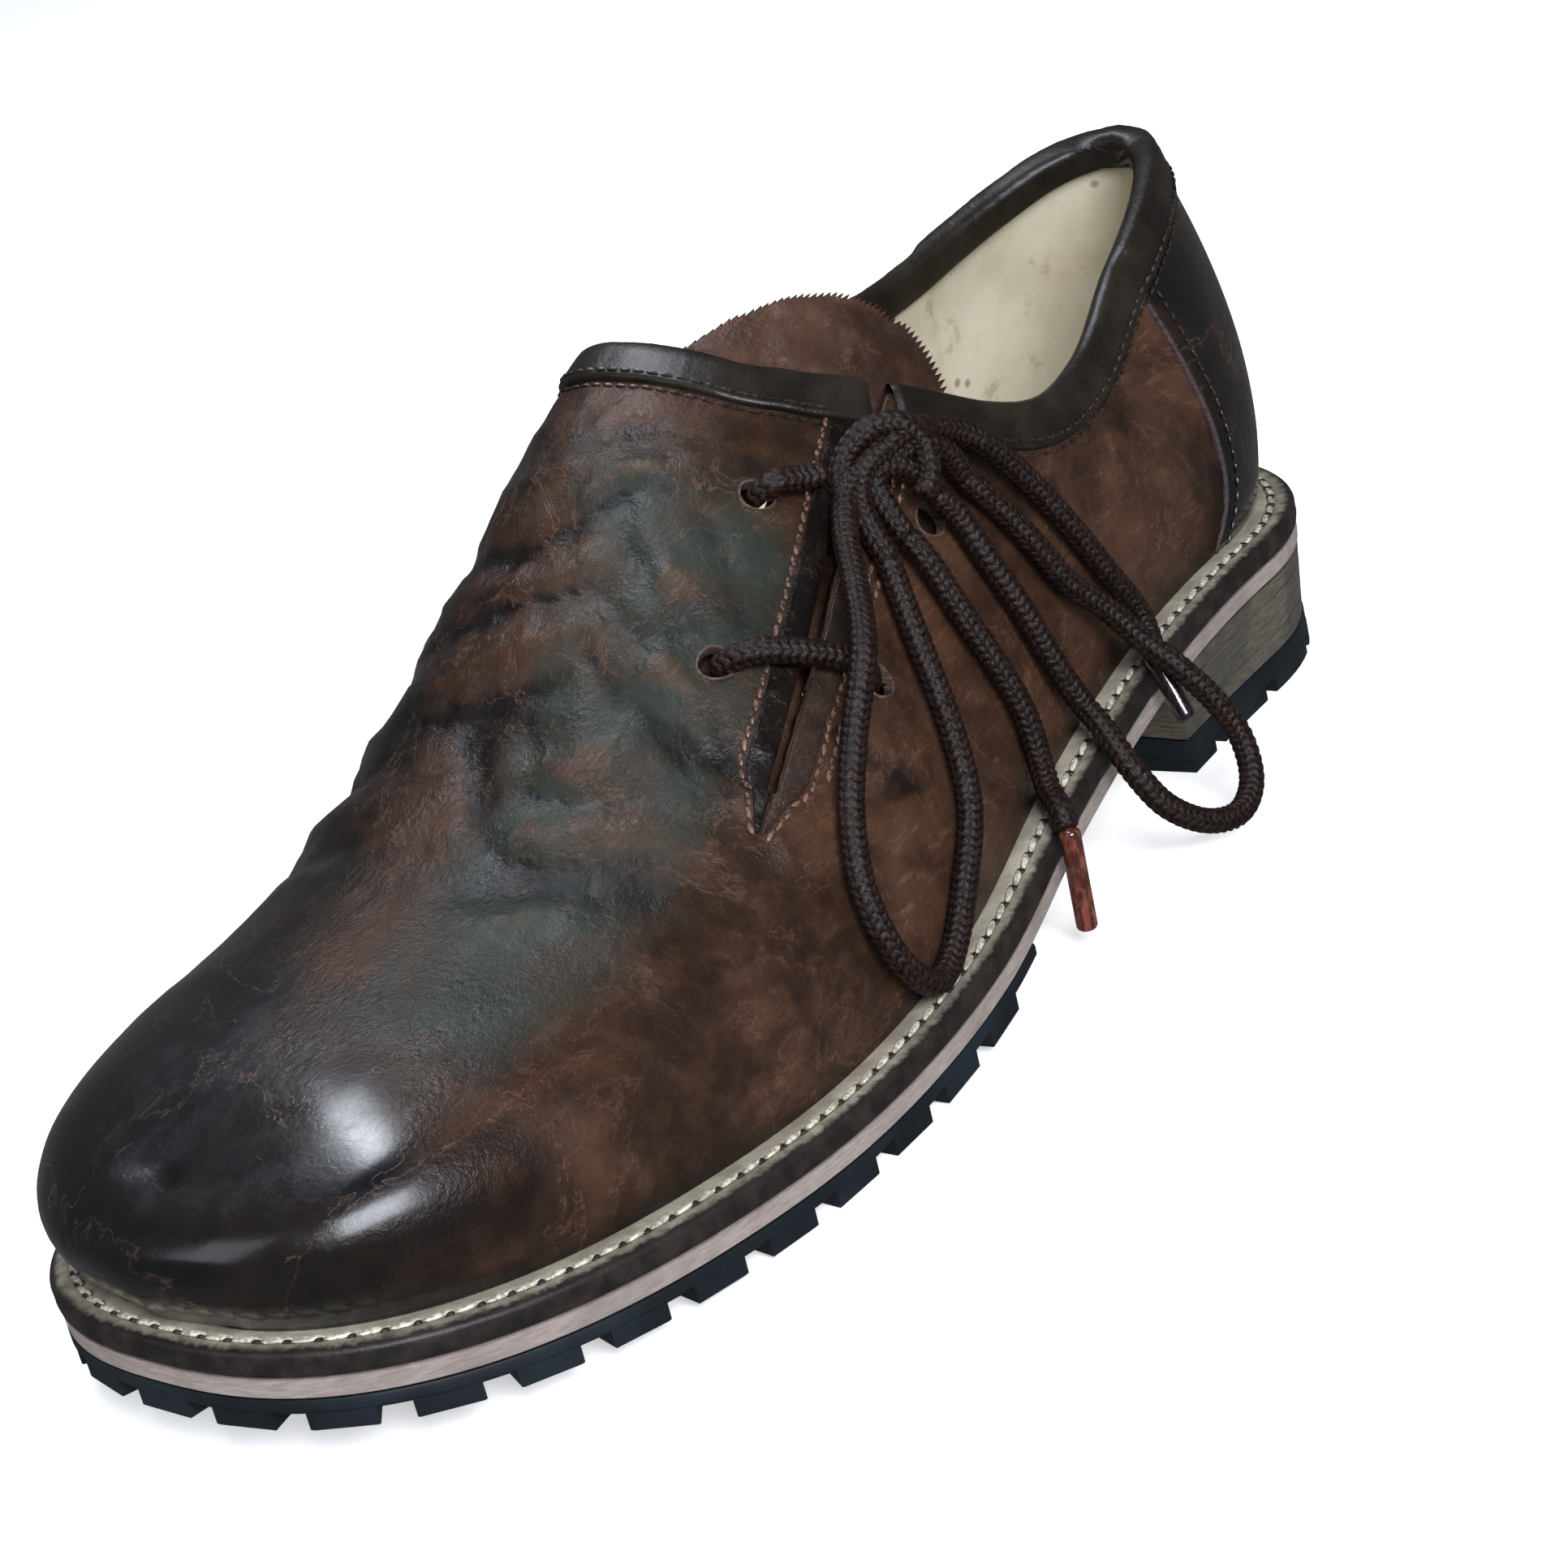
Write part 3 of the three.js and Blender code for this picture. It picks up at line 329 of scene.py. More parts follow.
def line_length(points):
    return float(np.linalg.norm(np.diff(points, axis=0), axis=1).sum())


def waves(points, size, seed):
    """Soft, repeatable wrinkles from about -1 to 1 and one size apart: crossed sines that bend each other."""
    p = points * (2 * math.pi / size)
    a, b, c = 0.9 + 0.13 * seed, 0.37 * seed + 0.4, 1.7 * seed
    x = p[..., 0] + 0.8 * np.sin(0.53 * p[..., 1] + c) + 0.6 * np.sin(0.41 * p[..., 2] + b)
    y = p[..., 1] + 0.8 * np.sin(0.47 * p[..., 2] + a) + 0.6 * np.sin(0.59 * p[..., 0] + c)
    z = p[..., 2] + 0.7 * np.sin(0.61 * p[..., 0] + b) + 0.7 * np.sin(0.43 * p[..., 1] + a)
    crossed = np.sin(x + a) * np.cos(y + b) + np.sin(y + c) * np.cos(z + a) + np.sin(z + b) * np.cos(x + c)
    return crossed / 2.2


# The sole and the last


def seat(x):
    """Height of the midsole's underside."""
    x = np.asarray(x, float)
    ball = HALF_SOLE - FLAT_PRESS
    heel = HEEL_LIFT + HEEL_STACK
    fall = heel + (ball - heel) * smooth(SHANK[0], SHANK[1], x)
    front = np.maximum(x - (SHANK[1] - 10), 0) / (LENGTH - SHANK[1] + 10)
    return fall + TOE_SPRING * front**2


def ground(x):
    return np.maximum(seat(x) - HALF_SOLE, 0)


def welt_top(x):
    return seat(x) + MIDSOLE + WELT


def rounding(s):
    """Share of the full breadth that the round heel and toe leave."""
    s = np.asarray(s, float)
    heel = np.clip((HEEL_ROUND["share"] - s) / HEEL_ROUND["share"], 0, 1)
    toe = np.clip((s - 1 + TOE_ROUND["share"]) / TOE_ROUND["share"], 0, 1)
    at_heel = (1 - heel ** HEEL_ROUND["power"]) ** (1 / HEEL_ROUND["power"])
    return at_heel * (1 - toe ** TOE_ROUND["power"]) ** (1 / TOE_ROUND["power"])


def centre_line(s):
    return BALL_WIDTH * along(PLAN, "centre", s)


def half_width(s):
    return (HEEL_WIDTH + (BALL_WIDTH - HEEL_WIDTH) * along(PLAN, "spread", s)) / 2


def sole_point(s, across, inset):
    """Plan of the sole. across runs from -1 on the inner edge to 1 on the outer edge."""
    x = inset + s * (LENGTH - 2 * inset)
    y = centre_line(s) + across * rounding(s) * (half_width(s) - inset)
    return x, y


def sole_ring(u, inset):
    """Edge of the sole: u from 0 to 1 goes once round it, from the heel along the outer side."""
    half = np.where(u < 0.5, 2 * u, 2 - 2 * u)
    s = (1 - np.cos(math.pi * half)) / 2
    return sole_point(s, np.where(u < 0.5, 1.0, -1.0), inset)


def last_point(s, w):
    """Point of the last's surface, which the upper's outer face follows."""
    side = np.where(w < 0, -1.0, 1.0)
    t = 1 - np.abs(w)
    x = bezier(HEEL_PROFILE, t) * (1 - s) + (LENGTH - bezier(TOE_PROFILE, t)) * s
    half = half_width(s) - SIDE_MARGIN
    outer = side > 0
    bulge = BALL_WIDTH * np.where(outer, along(SECTIONS, "bulge_out", s), along(SECTIONS, "bulge_in", s))
    shoulder = np.where(outer, along(SECTIONS, "shoulder_out", s), along(SECTIONS, "shoulder_in", s))
    ridge = BALL_WIDTH * along(SECTIONS, "ridge", s)
    across = bezier((half, half + bulge, shoulder * half, 0), t)
    lean = ridge * (t**3 + 3 * t**2 * (1 - t))
    y = centre_line(s) + rounding(s) * (side * across + lean)
    rise = INSTEP_HEIGHT * along(SECTIONS, "crown", s) - welt_top(LENGTH * s)
    z = welt_top(x) + rise * bezier((0, along(SECTIONS, "wall", s), 1, 1), t)
    return np.stack([x, y, z], axis=-1)


def last_normal(s, w):
    e = 1e-3
    s = np.clip(s, 0.003, 0.997)
    down, up = np.clip(w - e, -1, 1), np.clip(w + e, -1, 1)
    length = last_point(s + e, w) - last_point(s - e, w)
    height = last_point(s, up) - last_point(s, down)
    return unit(np.cross(length, height))


def skin(s, w, out=0.0):
    """Points of the upper's outer face, moved out by a distance, and the directions that they face."""
    s, w = np.broadcast_arrays(np.asarray(s, float), np.asarray(w, float))
    normal = last_normal(s, w)
    ends = ((s < 0.002) | (s > 0.998))[..., None]
    normal = np.where(ends, unit(normal + last_normal(s, -w)), normal)
    return last_point(s, w) + normal * np.asarray(out, float)[..., None], normal


def topline(x, y):
    """Height of the collar's rim over a place on the ground."""
    share = smooth(-SIDE_BLEND, SIDE_BLEND, y)
    inner, outer = along(TOPLINE, "inner", x / LENGTH), along(TOPLINE, "outer", x / LENGTH)
    return COLLAR_HEIGHT * (inner + (outer - inner) * share)


def above_topline(p, drop):
    x, y, z = p[..., 0], p[..., 1], p[..., 2]
    slope = topline(x + 0.5, y) - topline(x - 0.5, y)
    return z - topline(x, y) + drop * np.hypot(1, slope)


def bisect(inside, low, high):
    """Where a condition that holds from low on stops holding."""
    for _ in range(26):
        middle = (low + high) / 2
        ok = inside(middle)
        low, high = np.where(ok, middle, low), np.where(ok, high, middle)
    return (low + high) / 2


def over_heel_rim(w):
    return above_topline(last_point(np.zeros(1), w), 0) > 0


HEEL_W = float(bisect(over_heel_rim, np.zeros(1), np.ones(1))[0])
TURN = math.atan2(HEEL_W, -2 * COLLAR_CENTRE)


def ray(k, r):
    """Place on the upper at a distance r from the collar's middle, in the direction k."""
    s = COLLAR_CENTRE + r * np.cos(k * TURN) / 2
    return s, np.clip(r * np.sin(k * TURN), -1, 1)


def wrap(k):
    return np.mod(np.asarray(k, float) + 1, 2) - 1


def rim_reach(k, drop):
    """How far out along each ray the rim lies, or the line a drop below it."""
    def inside(r):
        s, w = ray(k, r)
        return (s >= -1e-6) & (above_topline(last_point(np.clip(s, 0, 1), w), drop) > 0)

    return bisect(inside, np.zeros_like(k), np.full_like(k, 1.2))


def rim(k):
    """Rim of the collar: k from -1 at the heel, by the inner side and 0 at the throat, to 1 at the heel."""
    k = wrap(k)
    s, w = ray(k, rim_reach(k, 0.0))
    return skin(np.clip(s, 0, 1), w)


def band_line(k, breadth):
    """Where a strip of this breadth ends on the leather: the line at one distance from the rim."""
    k = wrap(k)
    edge = rim(np.linspace(-1, 1, 600))[0]

    def inside(r):
        s, w = ray(k, r)
        p = last_point(np.clip(s, 0, 1), w)
        return np.linalg.norm(p[:, None] - edge[None], axis=2).min(axis=1) < breadth

    start = rim_reach(k, 0.0)
    s, w = ray(k, bisect(inside, start, start + 0.5) if breadth > 0 else start)
    return np.clip(s, 0, 1), w


def edge_reach(k):
    """How far out along each ray the upper's lasted edge lies."""
    c, n = np.cos(k * TURN) / 2, np.abs(np.sin(k * TURN))
    toe = np.where(c > 1e-9, (1 - COLLAR_CENTRE) / np.maximum(c, 1e-9), 1e9)
    heel = np.where(c < -1e-9, COLLAR_CENTRE / np.maximum(-c, 1e-9), 1e9)
    return np.minimum(np.minimum(toe, heel), 1 / np.maximum(n, 1e-9))


# The slit's own axes: up along it from the tip, across it towards the heel, and out of the leather
def slit_axes():
    top, top_normal = skin(*SLIT_TOP)
    tip, tip_normal = skin(*SLIT_TIP)
    up = unit(top - tip)
    out = top_normal + tip_normal
    out = unit(out - up * out.dot(up))
    return tip, up, np.cross(up, out), out, float(np.linalg.norm(top - tip))


SLIT_ORIGIN, SLIT_UP, SLIT_ACROSS, SLIT_OUT, SLIT_RUN = slit_axes()
SLIT_REACH = SLIT_RUN + 14


def slit_half(v):
    """Half of the slit's width, v up it from its tip."""
    widening = (SLIT_WIDTH - SLIT_TIP_WIDTH) / 2 * np.clip(v / SLIT_REACH, 0, 1)
    return np.where(v > 0, SLIT_TIP_WIDTH / 2 + widening, 0)


def by_slit(u, v):
    """Points of the leather at a distance u across the slit and v up it."""
    u, v = np.broadcast_arrays(np.asarray(u, float), np.asarray(v, float))
    share = v / SLIT_RUN
    s = SLIT_TIP[0] + (SLIT_TOP[0] - SLIT_TIP[0]) * share
    w = SLIT_TIP[1] + (SLIT_TOP[1] - SLIT_TIP[1]) * share

    def miss(s, w):
        p = last_point(s, w) - SLIT_ORIGIN
        return p @ SLIT_ACROSS - u, p @ SLIT_UP - v

    e = 1e-3
    for _ in range(8):
        a, b = miss(s, w)
        a_s, b_s = miss(s + e, w)
        a_w, b_w = miss(s, w + e)
        j11, j21, j12, j22 = (a_s - a) / e, (b_s - b) / e, (a_w - a) / e, (b_w - b) / e
        det = j11 * j22 - j12 * j21
        s = s - (j22 * a - j12 * b) / det
        w = w - (j11 * b - j21 * a) / det
    return skin(s, w)


# Meshes

ORIGIN = Vector((LENGTH / 2, 2.249, 0))
TO_FRAME = Matrix.Scale(0.001, 4) @ Matrix.Translation(-ORIGIN)
LIE_DOWN = Matrix.Rotation(math.pi / 2, 4, "Y")


def to_frame(points):
    return (np.asarray(points, float) - np.array(ORIGIN)) * 0.001


def grid(columns, rows, place, bm=None):
    """Sheet of faces whose points are placed by u and v, from 0 to 1. place may also give values to keep."""
    made = bmesh.new()
    bmesh.ops.create_grid(made, x_segments=columns, y_segments=rows, size=0.5)
    u = np.round((np.array([v.co.x for v in made.verts]) + 0.5) * columns) / columns
    v = np.round((np.array([v.co.y for v in made.verts]) + 0.5) * rows) / rows
    placed = place(u, v)
    points, values = placed if isinstance(placed, tuple) else (placed, {})
    for vert, point in zip(made.verts, points):
        vert.co = point
    for name, numbers in values.items():
        layer = made.verts.layers.float.new(name)
        for vert, number in zip(made.verts, numbers):
            vert[layer] = number
    if bm is None:
        return made
    join(bm, made)
    return bm


def join(bm, other):
    mesh = bpy.data.meshes.new("joined")
    other.to_mesh(mesh)
    other.free()
    bm.from_mesh(mesh)
    bpy.data.meshes.remove(mesh)


def volume_out(bm):
    if bm.calc_volume(signed=True) < 0:
        bmesh.ops.reverse_faces(bm, faces=bm.faces)


def tighten(bm, merge=0.01):
    """Joins the points that meet and turns all faces out."""
    bmesh.ops.remove_doubles(bm, verts=bm.verts, dist=merge)
    bmesh.ops.recalc_face_normals(bm, faces=bm.faces)


def turn_towards(bm, face, way):
    """Turns all faces round if this one looks away from a direction."""
    if face.normal.dot(Vector(way)) < 0:
        bmesh.ops.reverse_faces(bm, faces=bm.faces)


def give_wall(piece, thickness):
    wall = piece.modifiers.new("wall", "SOLIDIFY")
    wall.thickness = thickness
    wall.offset = -1
    return wall


def finish_piece(bm, name, materials, nodes=(), sharp=35, merge=0.004):
    """Moves a finished mesh into the frame and makes it a piece of the shoe."""
    bmesh.ops.remove_doubles(bm, verts=bm.verts, dist=merge)
    bmesh.ops.transform(bm, matrix=TO_FRAME, verts=bm.verts)
    mesh = bpy.data.meshes.new(name)
    bm.to_mesh(mesh)
    bm.free()
    mesh.polygons.foreach_set("use_smooth", [True] * len(mesh.polygons))
    mesh.set_sharp_from_angle(angle=math.radians(sharp))
    for material in materials:
        mesh.materials.append(material)
    piece = bpy.data.objects.new(name, mesh)
    bpy.context.collection.objects.link(piece)
    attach(piece, "root")
    if nodes:
        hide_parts(*nodes)
    return piece


def frames_along(path, normals=None):
    """Tangent, side and up direction at each point of a path."""
    tangent = unit(np.gradient(path, axis=0))
    if normals is None:
        up = np.empty_like(path)
        start = np.cross(tangent[0], [0.3, 0.5, 0.8])
        up[0] = start / np.linalg.norm(start)
        for i in range(1, len(path)):
            step = up[i - 1] - tangent[i] * up[i - 1].dot(tangent[i])
            up[i] = step / np.linalg.norm(step)
    else:
        up = unit(normals - tangent * (normals * tangent).sum(-1, keepdims=True))
    return tangent, np.cross(up, tangent), up


def chevrons(v, distance):
    """Relief of a round braid, 0 in its grooves and 1 on its plaits, which slant and meet in Vs."""
    column = 5 * v
    slant = 2 * np.abs(np.mod(column, 1) - 0.5)
    plait = np.abs(np.sin(math.pi * (distance / 1.5 + 0.6 * slant))) ** 0.6
    return plait * (0.6 + 0.4 * np.abs(np.sin(2 * math.pi * column)) ** 0.5)


def tube(path, radius, sides, bm=None, braid=False):
    """Round cord on a path with rounded ends. A braided one has plaits raised on it, kept as weave."""
    _, side, up = frames_along(path)
    distance = distances(path)
    rings = len(path) - 1

    def place(u, v):
        i = nearest(u, rings)
        turn = 2 * math.pi * v
        weave = chevrons(v, distance[i]) if braid else np.full_like(u, 0.7)
        end = np.clip(np.minimum(distance[i], distance[-1] - distance[i]) / (0.6 * radius), 0, 1)
        r = (radius + 0.42 * (weave - 0.7)) * np.sqrt(1 - (1 - end) ** 2)
        ring = side[i] * (np.cos(turn) * r)[:, None] + up[i] * (np.sin(turn) * r)[:, None]
        return path[i] + ring, {"weave": weave}

    made = grid(rings, sides, place)
    bmesh.ops.remove_doubles(made, verts=made.verts, dist=0.002)
    volume_out(made)
    if bm is None:
        return made
    join(bm, made)
    return bm


def braided(path, bm=None):
    return tube(path, LACE / 2 - 0.05, 40, bm, braid=True)


def stitch_row(bm, path, normals, size, pitch, sink=0.25, tilt=0.0):
    """Row of stitches along a path. size is the length, width and height of one."""
    whole = line_length(path)
    count = max(1, int(round(whole / pitch)))
    distance = distances(path)
    at = (np.arange(count) + 0.5) * whole / count
    centres = np.column_stack([np.interp(at, distance, path[:, i]) for i in range(3)])
    tangent, side, up = frames_along(path, normals)
    index = np.clip(np.searchsorted(distance, at), 0, len(path) - 1)
    for centre, i in zip(centres, index):
        way = tangent[i] * math.cos(tilt) + side[i] * math.sin(tilt)
        cross = np.cross(up[i], way)
        turn = Matrix((way, cross, up[i])).transposed().to_4x4()
        place = Matrix.Translation(Vector(centre + up[i] * (size[2] / 2 - sink)))
        lie = place @ turn @ Matrix.Diagonal((*size, 1)) @ LIE_DOWN
        bmesh.ops.create_uvsphere(bm, u_segments=6, v_segments=4, radius=0.5, matrix=lie)


# Materials


def linear(text):
    """Turns an sRGB hex colour to linear red, green, blue and alpha."""
    values = [int(text[i : i + 2], 16) / 255 for i in (1, 3, 5)]
    return tuple(c / 12.92 if c <= 0.04045 else ((c + 0.055) / 1.055) ** 2.4 for c in values) + (1.0,)


def node(tree, kind, settings=None, **links):
    """Adds a node. Settings are its properties, links its inputs: a value, or another node's output."""
    made = tree.nodes.new(kind)
    for name, value in (settings or {}).items():
        setattr(made, name, value)
    for name, value in links.items():
        key = int(name[1:]) if name[0] == "_" and name[1:].isdigit() else name.replace("_", " ")
        socket = made.inputs[key]
        if isinstance(value, bpy.types.NodeSocket):
            tree.links.new(value, socket)
        else:
            socket.default_value = value
    return made


def material(name, roughness, specular=0.5, coat=0.0, coat_roughness=0.1):
    made = bpy.data.materials.new(name)
    made.use_nodes = True
    tree = made.node_tree
    shader = tree.nodes["Principled BSDF"]
    shader.inputs["Roughness"].default_value = roughness
    shader.inputs["Specular IOR Level"].default_value = specular
    shader.inputs["Coat Weight"].default_value = coat
    shader.inputs["Coat Roughness"].default_value = coat_roughness
    return made, tree, shader


def place_of(tree, scale=(1, 1, 1), turn=(0, 0, 0)):
    """Object coordinates in millimetres, stretched or turned."""
    spot = node(tree, "ShaderNodeTexCoord")
    scale = [1000 * c for c in scale]
    placed = node(tree, "ShaderNodeMapping", Vector=spot.outputs["Object"], Scale=scale, Rotation=turn)
    return placed.outputs["Vector"]


def noise(tree, where, size, detail=3.0, rough=0.55, distortion=0.0):
    """Cloudy pattern whose spots are about one size across, in millimetres."""
    return node(
        tree, "ShaderNodeTexNoise", Vector=where, Scale=1 / size, Detail=detail, Roughness=rough,
        Distortion=distortion,
    ).outputs["Fac"]


def ramp(tree, value, low, high, start=0.0, end=1.0):
    """Smooth step of a value: start up to low, and end from high on."""
    return node(
        tree, "ShaderNodeMapRange", {"interpolation_type": "SMOOTHSTEP"}, Value=value, From_Min=low,
        From_Max=high, To_Min=start, To_Max=end,
    ).outputs["Result"]


def mix(tree, factor, a, b):
    """Two colours mixed by a factor."""
    made = node(tree, "ShaderNodeMix", {"data_type": "RGBA", "blend_type": "MIX"})
    for index, value in ((0, factor), (6, a), (7, b)):
        if isinstance(value, bpy.types.NodeSocket):
            tree.links.new(value, made.inputs[index])
        else:
            made.inputs[index].default_value = value
    return made.outputs[2]


def math_node(tree, operation, a, b=0.0):
    return node(tree, "ShaderNodeMath", {"operation": operation}, _0=a, _1=b).outputs[0]


def times(tree, a, b):
    return math_node(tree, "MULTIPLY", a, b)


def bump(tree, shader, height, distance, strength):
    made = node(tree, "ShaderNodeBump", Height=height, Distance=distance * 0.001, Strength=strength)
    tree.links.new(made.outputs["Normal"], shader.inputs["Normal"])


def two_tones(tree, cloud, low, high, dark, light):
    """One colour where a pattern is under low, another where it is over high."""
    return mix(tree, ramp(tree, cloud, low, high), linear(dark), linear(light))


def attribute(tree, name):
    return node(tree, "ShaderNodeAttribute", {"attribute_name": name}).outputs["Fac"]


def veins(tree, where, size, detail=6.0):
    """Sharp branching ridges, about one size apart in millimetres."""
    return node(
        tree, "ShaderNodeTexNoise", {"noise_type": "RIDGED_MULTIFRACTAL"}, Vector=where, Scale=1 / size,
        Detail=detail, Roughness=0.55, Lacunarity=2.1, Offset=0.9, Gain=2.0, Distortion=0.35,
    ).outputs["Fac"]


def hairlines(tree, where, size, breadth):
    """Thin winding lines where a cloudy pattern crosses its middle value."""
    cloud = noise(tree, where, size, 6.0, 0.62, 0.6)
    off = math_node(tree, "ABSOLUTE", math_node(tree, "SUBTRACT", cloud, 0.5))
    return ramp(tree, off, breadth, 0.0)


def creased_calf(name, tones, gloss=0.3, zones=False):
    """Antiqued calf, waxed and burnished: dark blotches on brown, and light cracks where it bends."""
    made, tree, shader = material(name, gloss, specular=0.22)
    where = place_of(tree)
    cloud = ramp(tree, noise(tree, where, 30, 4, 0.6, 0.4), 0.38, 0.64)
    mottle = ramp(tree, noise(tree, where, 7, 5, 0.66), 0.4, 0.7)
    colour = mix(tree, cloud, linear(tones["dark"]), linear(tones["brown"]))
    colour = mix(tree, times(tree, mottle, 0.3), colour, linear(tones["warm"]))
    bent = 1.0
    # Fibres drawn out along the shoe where the leather stretches
    fibres = ramp(tree, noise(tree, place_of(tree, (0.2, 1, 1)), 1.5, 5, 0.7), 0.52, 0.72, 0.0, 0.4)
    colour = mix(tree, times(tree, fibres, cloud), colour, linear(tones["crack"]))
    if zones:
        bent = attribute(tree, "bent")
        wear_and_shade = attribute(tree, "wear_and_shade")
        # Painted sheen: grey-green on the top of the vamp.
        colour = mix(tree, attribute(tree, "sheen_zone"), colour, linear(tones["green"]))
        # Worn finish: warmer on the folds' crests.
        colour = mix(tree, ramp(tree, wear_and_shade, 0.3, 1.0, 0.0, 0.36), colour, linear(tones["warm"]))
        crest = times(tree, ramp(tree, wear_and_shade, 0.15, 0.8), fibres)
        colour = mix(tree, crest, colour, linear(tones["crack"]))
        # Dark toe and counter, and painted shade on the inner side, all from dark_zone.
        colour = mix(tree, attribute(tree, "dark_zone"), colour, linear(tones["black"]))
        # Painted shade: near black in the folds' troughs.
        colour = mix(tree, ramp(tree, wear_and_shade, -0.1, -1.0, 0.0, 0.85), colour, linear(tones["black"]))
    # The finish cracks in winding lines, drawn a little coarser than real so that they show
    long_lines = times(tree, hairlines(tree, where, 30, 0.007), ramp(tree, cloud, 0.1, 0.8, 0.3, 1.0))
    patches = ramp(tree, noise(tree, where, 14, 3), 0.53, 0.64)
    short_lines = times(tree, hairlines(tree, where, 6, 0.022), patches)
    lines = math_node(tree, "MAXIMUM", long_lines, times(tree, short_lines, bent))
    colour = mix(tree, times(tree, lines, 0.3), colour, linear(tones["crack"]))
    tree.links.new(colour, shader.inputs["Base Color"])
    crinkle = noise(tree, where, 2.4, 6, 0.62, 0.8)
    wrinkles = times(tree, veins(tree, where, 9, 5.0), math_node(tree, "ADD", bent, 0.12))
    pores = noise(tree, where, 0.9, 3, 0.7)
    height = times(tree, math_node(tree, "ADD", crinkle, wrinkles), 0.5)
    height = math_node(tree, "ADD", height, times(tree, pores, 0.6))
    height = math_node(tree, "SUBTRACT", height, times(tree, lines, 0.25))
    if zones:
        height = times(tree, height, ramp(tree, attribute(tree, "dark_zone"), 0.5, 1.0, 1.0, 0.3))
    bump(tree, shader, height, 0.36, 0.8)
    patch = ramp(tree, noise(tree, where, 8, 5, 0.65), 0.38, 0.66, gloss - 0.06, gloss + 0.12)
    if zones:
        patch = math_node(tree, "SUBTRACT", patch, times(tree, attribute(tree, "dark_zone"), 0.14))
    tree.links.new(patch, shader.inputs["Roughness"])
    if zones:
        # Toe and counter are polished over the dye; the mask also holds the painted shade of the inner side,
        # which gets the coat too
        polish = ramp(tree, attribute(tree, "dark_zone"), 0.5, 1.0, 0.0, 0.8)
        tree.links.new(polish, shader.inputs["Coat Weight"])
        shader.inputs["Coat Roughness"].default_value = 0.2
    return made


def smooth_calf(name, tone, light, gloss=0.35):
    """Bound edge of finer calf, dyed through and polished: even colour with soft lighter patches, and close
    grain.
    """
    made, tree, shader = material(name, gloss, specular=0.3, coat=0.06, coat_roughness=0.2)
    where = place_of(tree)
    colour = two_tones(tree, noise(tree, where, 12, 4), 0.35, 0.7, tone, light)
    tree.links.new(colour, shader.inputs["Base Color"])
    fine = noise(tree, where, 0.8, 4, 0.65)
    pleat = noise(tree, where, 3.0, 3, 0.5, 0.5)
    bump(tree, shader, math_node(tree, "ADD", fine, times(tree, pleat, 1.2)), 0.16, 0.6)
    return made


def lining_leather(name):
    """Undyed pigskin or sheepskin lining, vegetable tanned: cream, matt, with dark specks and rub marks."""
    made, tree, shader = material(name, 0.62, specular=0.35)
    where = place_of(tree)
    colour = two_tones(tree, noise(tree, where, 22, 4), 0.35, 0.7, "#d9d0b9", "#c5baa0")
    specks = node(tree, "ShaderNodeTexVoronoi", Vector=where, Scale=0.11, Randomness=1.0).outputs["Distance"]
    colour = mix(tree, ramp(tree, specks, 0.14, 0.05, 0.0, 0.6), colour, linear("#5b4430"))
    rub = times(tree, ramp(tree, noise(tree, where, 7, 5, 0.7), 0.56, 0.7), 0.4)
    colour = mix(tree, rub, colour, linear("#8f7c5c"))
    tree.links.new(colour, shader.inputs["Base Color"])
    bump(tree, shader, noise(tree, where, 0.7, 3, 0.6), 0.12, 0.4)
    return made


def welt_leather(name):
    """Natural bend leather, cut and waxed: beige on top, darkened by heel ink towards its edge."""
    made, tree, shader = material(name, 0.45, specular=0.35)
    where = place_of(tree)
    top = two_tones(tree, noise(tree, where, 6, 5, 0.65), 0.35, 0.68, "#8c8373", "#b0a692")
    uneven = ramp(tree, noise(tree, where, 2.0, 5, 0.7), 0.3, 0.7, -0.16, 0.16)
    ink = math_node(tree, "ADD", attribute(tree, "ink"), uneven)
    edge = two_tones(tree, noise(tree, where, 4, 4), 0.35, 0.65, "#191413", "#2a221e")
    colour = mix(tree, ramp(tree, ink, 0.12, 0.85), top, edge)
    tree.links.new(colour, shader.inputs["Base Color"])
    bump(tree, shader, noise(tree, where, 0.8, 4, 0.6), 0.16, 0.5)
    return made


def cut_leather(name, tones, layer=0.0, rough=0.72):
    """Sawn and sanded edge of sole leather: fibre streaks along it, and lines between its layers."""
    made, tree, shader = material(name, rough, specular=0.3)
    streaks = place_of(tree, (0.35, 0.35, 3.0))
    where = place_of(tree)
    colour = two_tones(tree, noise(tree, streaks, 1.3, 4, 0.7), 0.32, 0.68, tones[0], tones[1])
    colour = mix(tree, ramp(tree, noise(tree, where, 14, 3), 0.4, 0.7, 0.0, 0.5), colour, linear(tones[2]))
    height = noise(tree, streaks, 0.8, 4, 0.7)
    if layer:
        kind = {"wave_type": "BANDS", "bands_direction": "Z", "wave_profile": "SAW"}
        bands = node(
            tree, "ShaderNodeTexWave", kind, Vector=where, Scale=0.314 / layer, Distortion=1.2, Detail=2.0,
            Detail_Scale=0.4,
        )
        seam = ramp(tree, bands.outputs["Fac"], 0.9, 1.0)
        colour = mix(tree, times(tree, seam, 0.5), colour, linear("#1c1813"))
        height = math_node(tree, "SUBTRACT", height, seam)
    tree.links.new(colour, shader.inputs["Base Color"])
    bump(tree, shader, height, 0.2, 0.6)
    return made


def tread_rubber(name):
    """Moulded nitrile rubber: blue-black, dull, with a faint pebble from the mould."""
    made, tree, shader = material(name, 0.5, specular=0.3)
    where = place_of(tree)
    colour = two_tones(tree, noise(tree, where, 18, 4), 0.35, 0.7, "#10151a", "#192127")
    tree.links.new(colour, shader.inputs["Base Color"])
    bump(tree, shader, noise(tree, where, 0.5, 3), 0.06, 0.4)
    return made


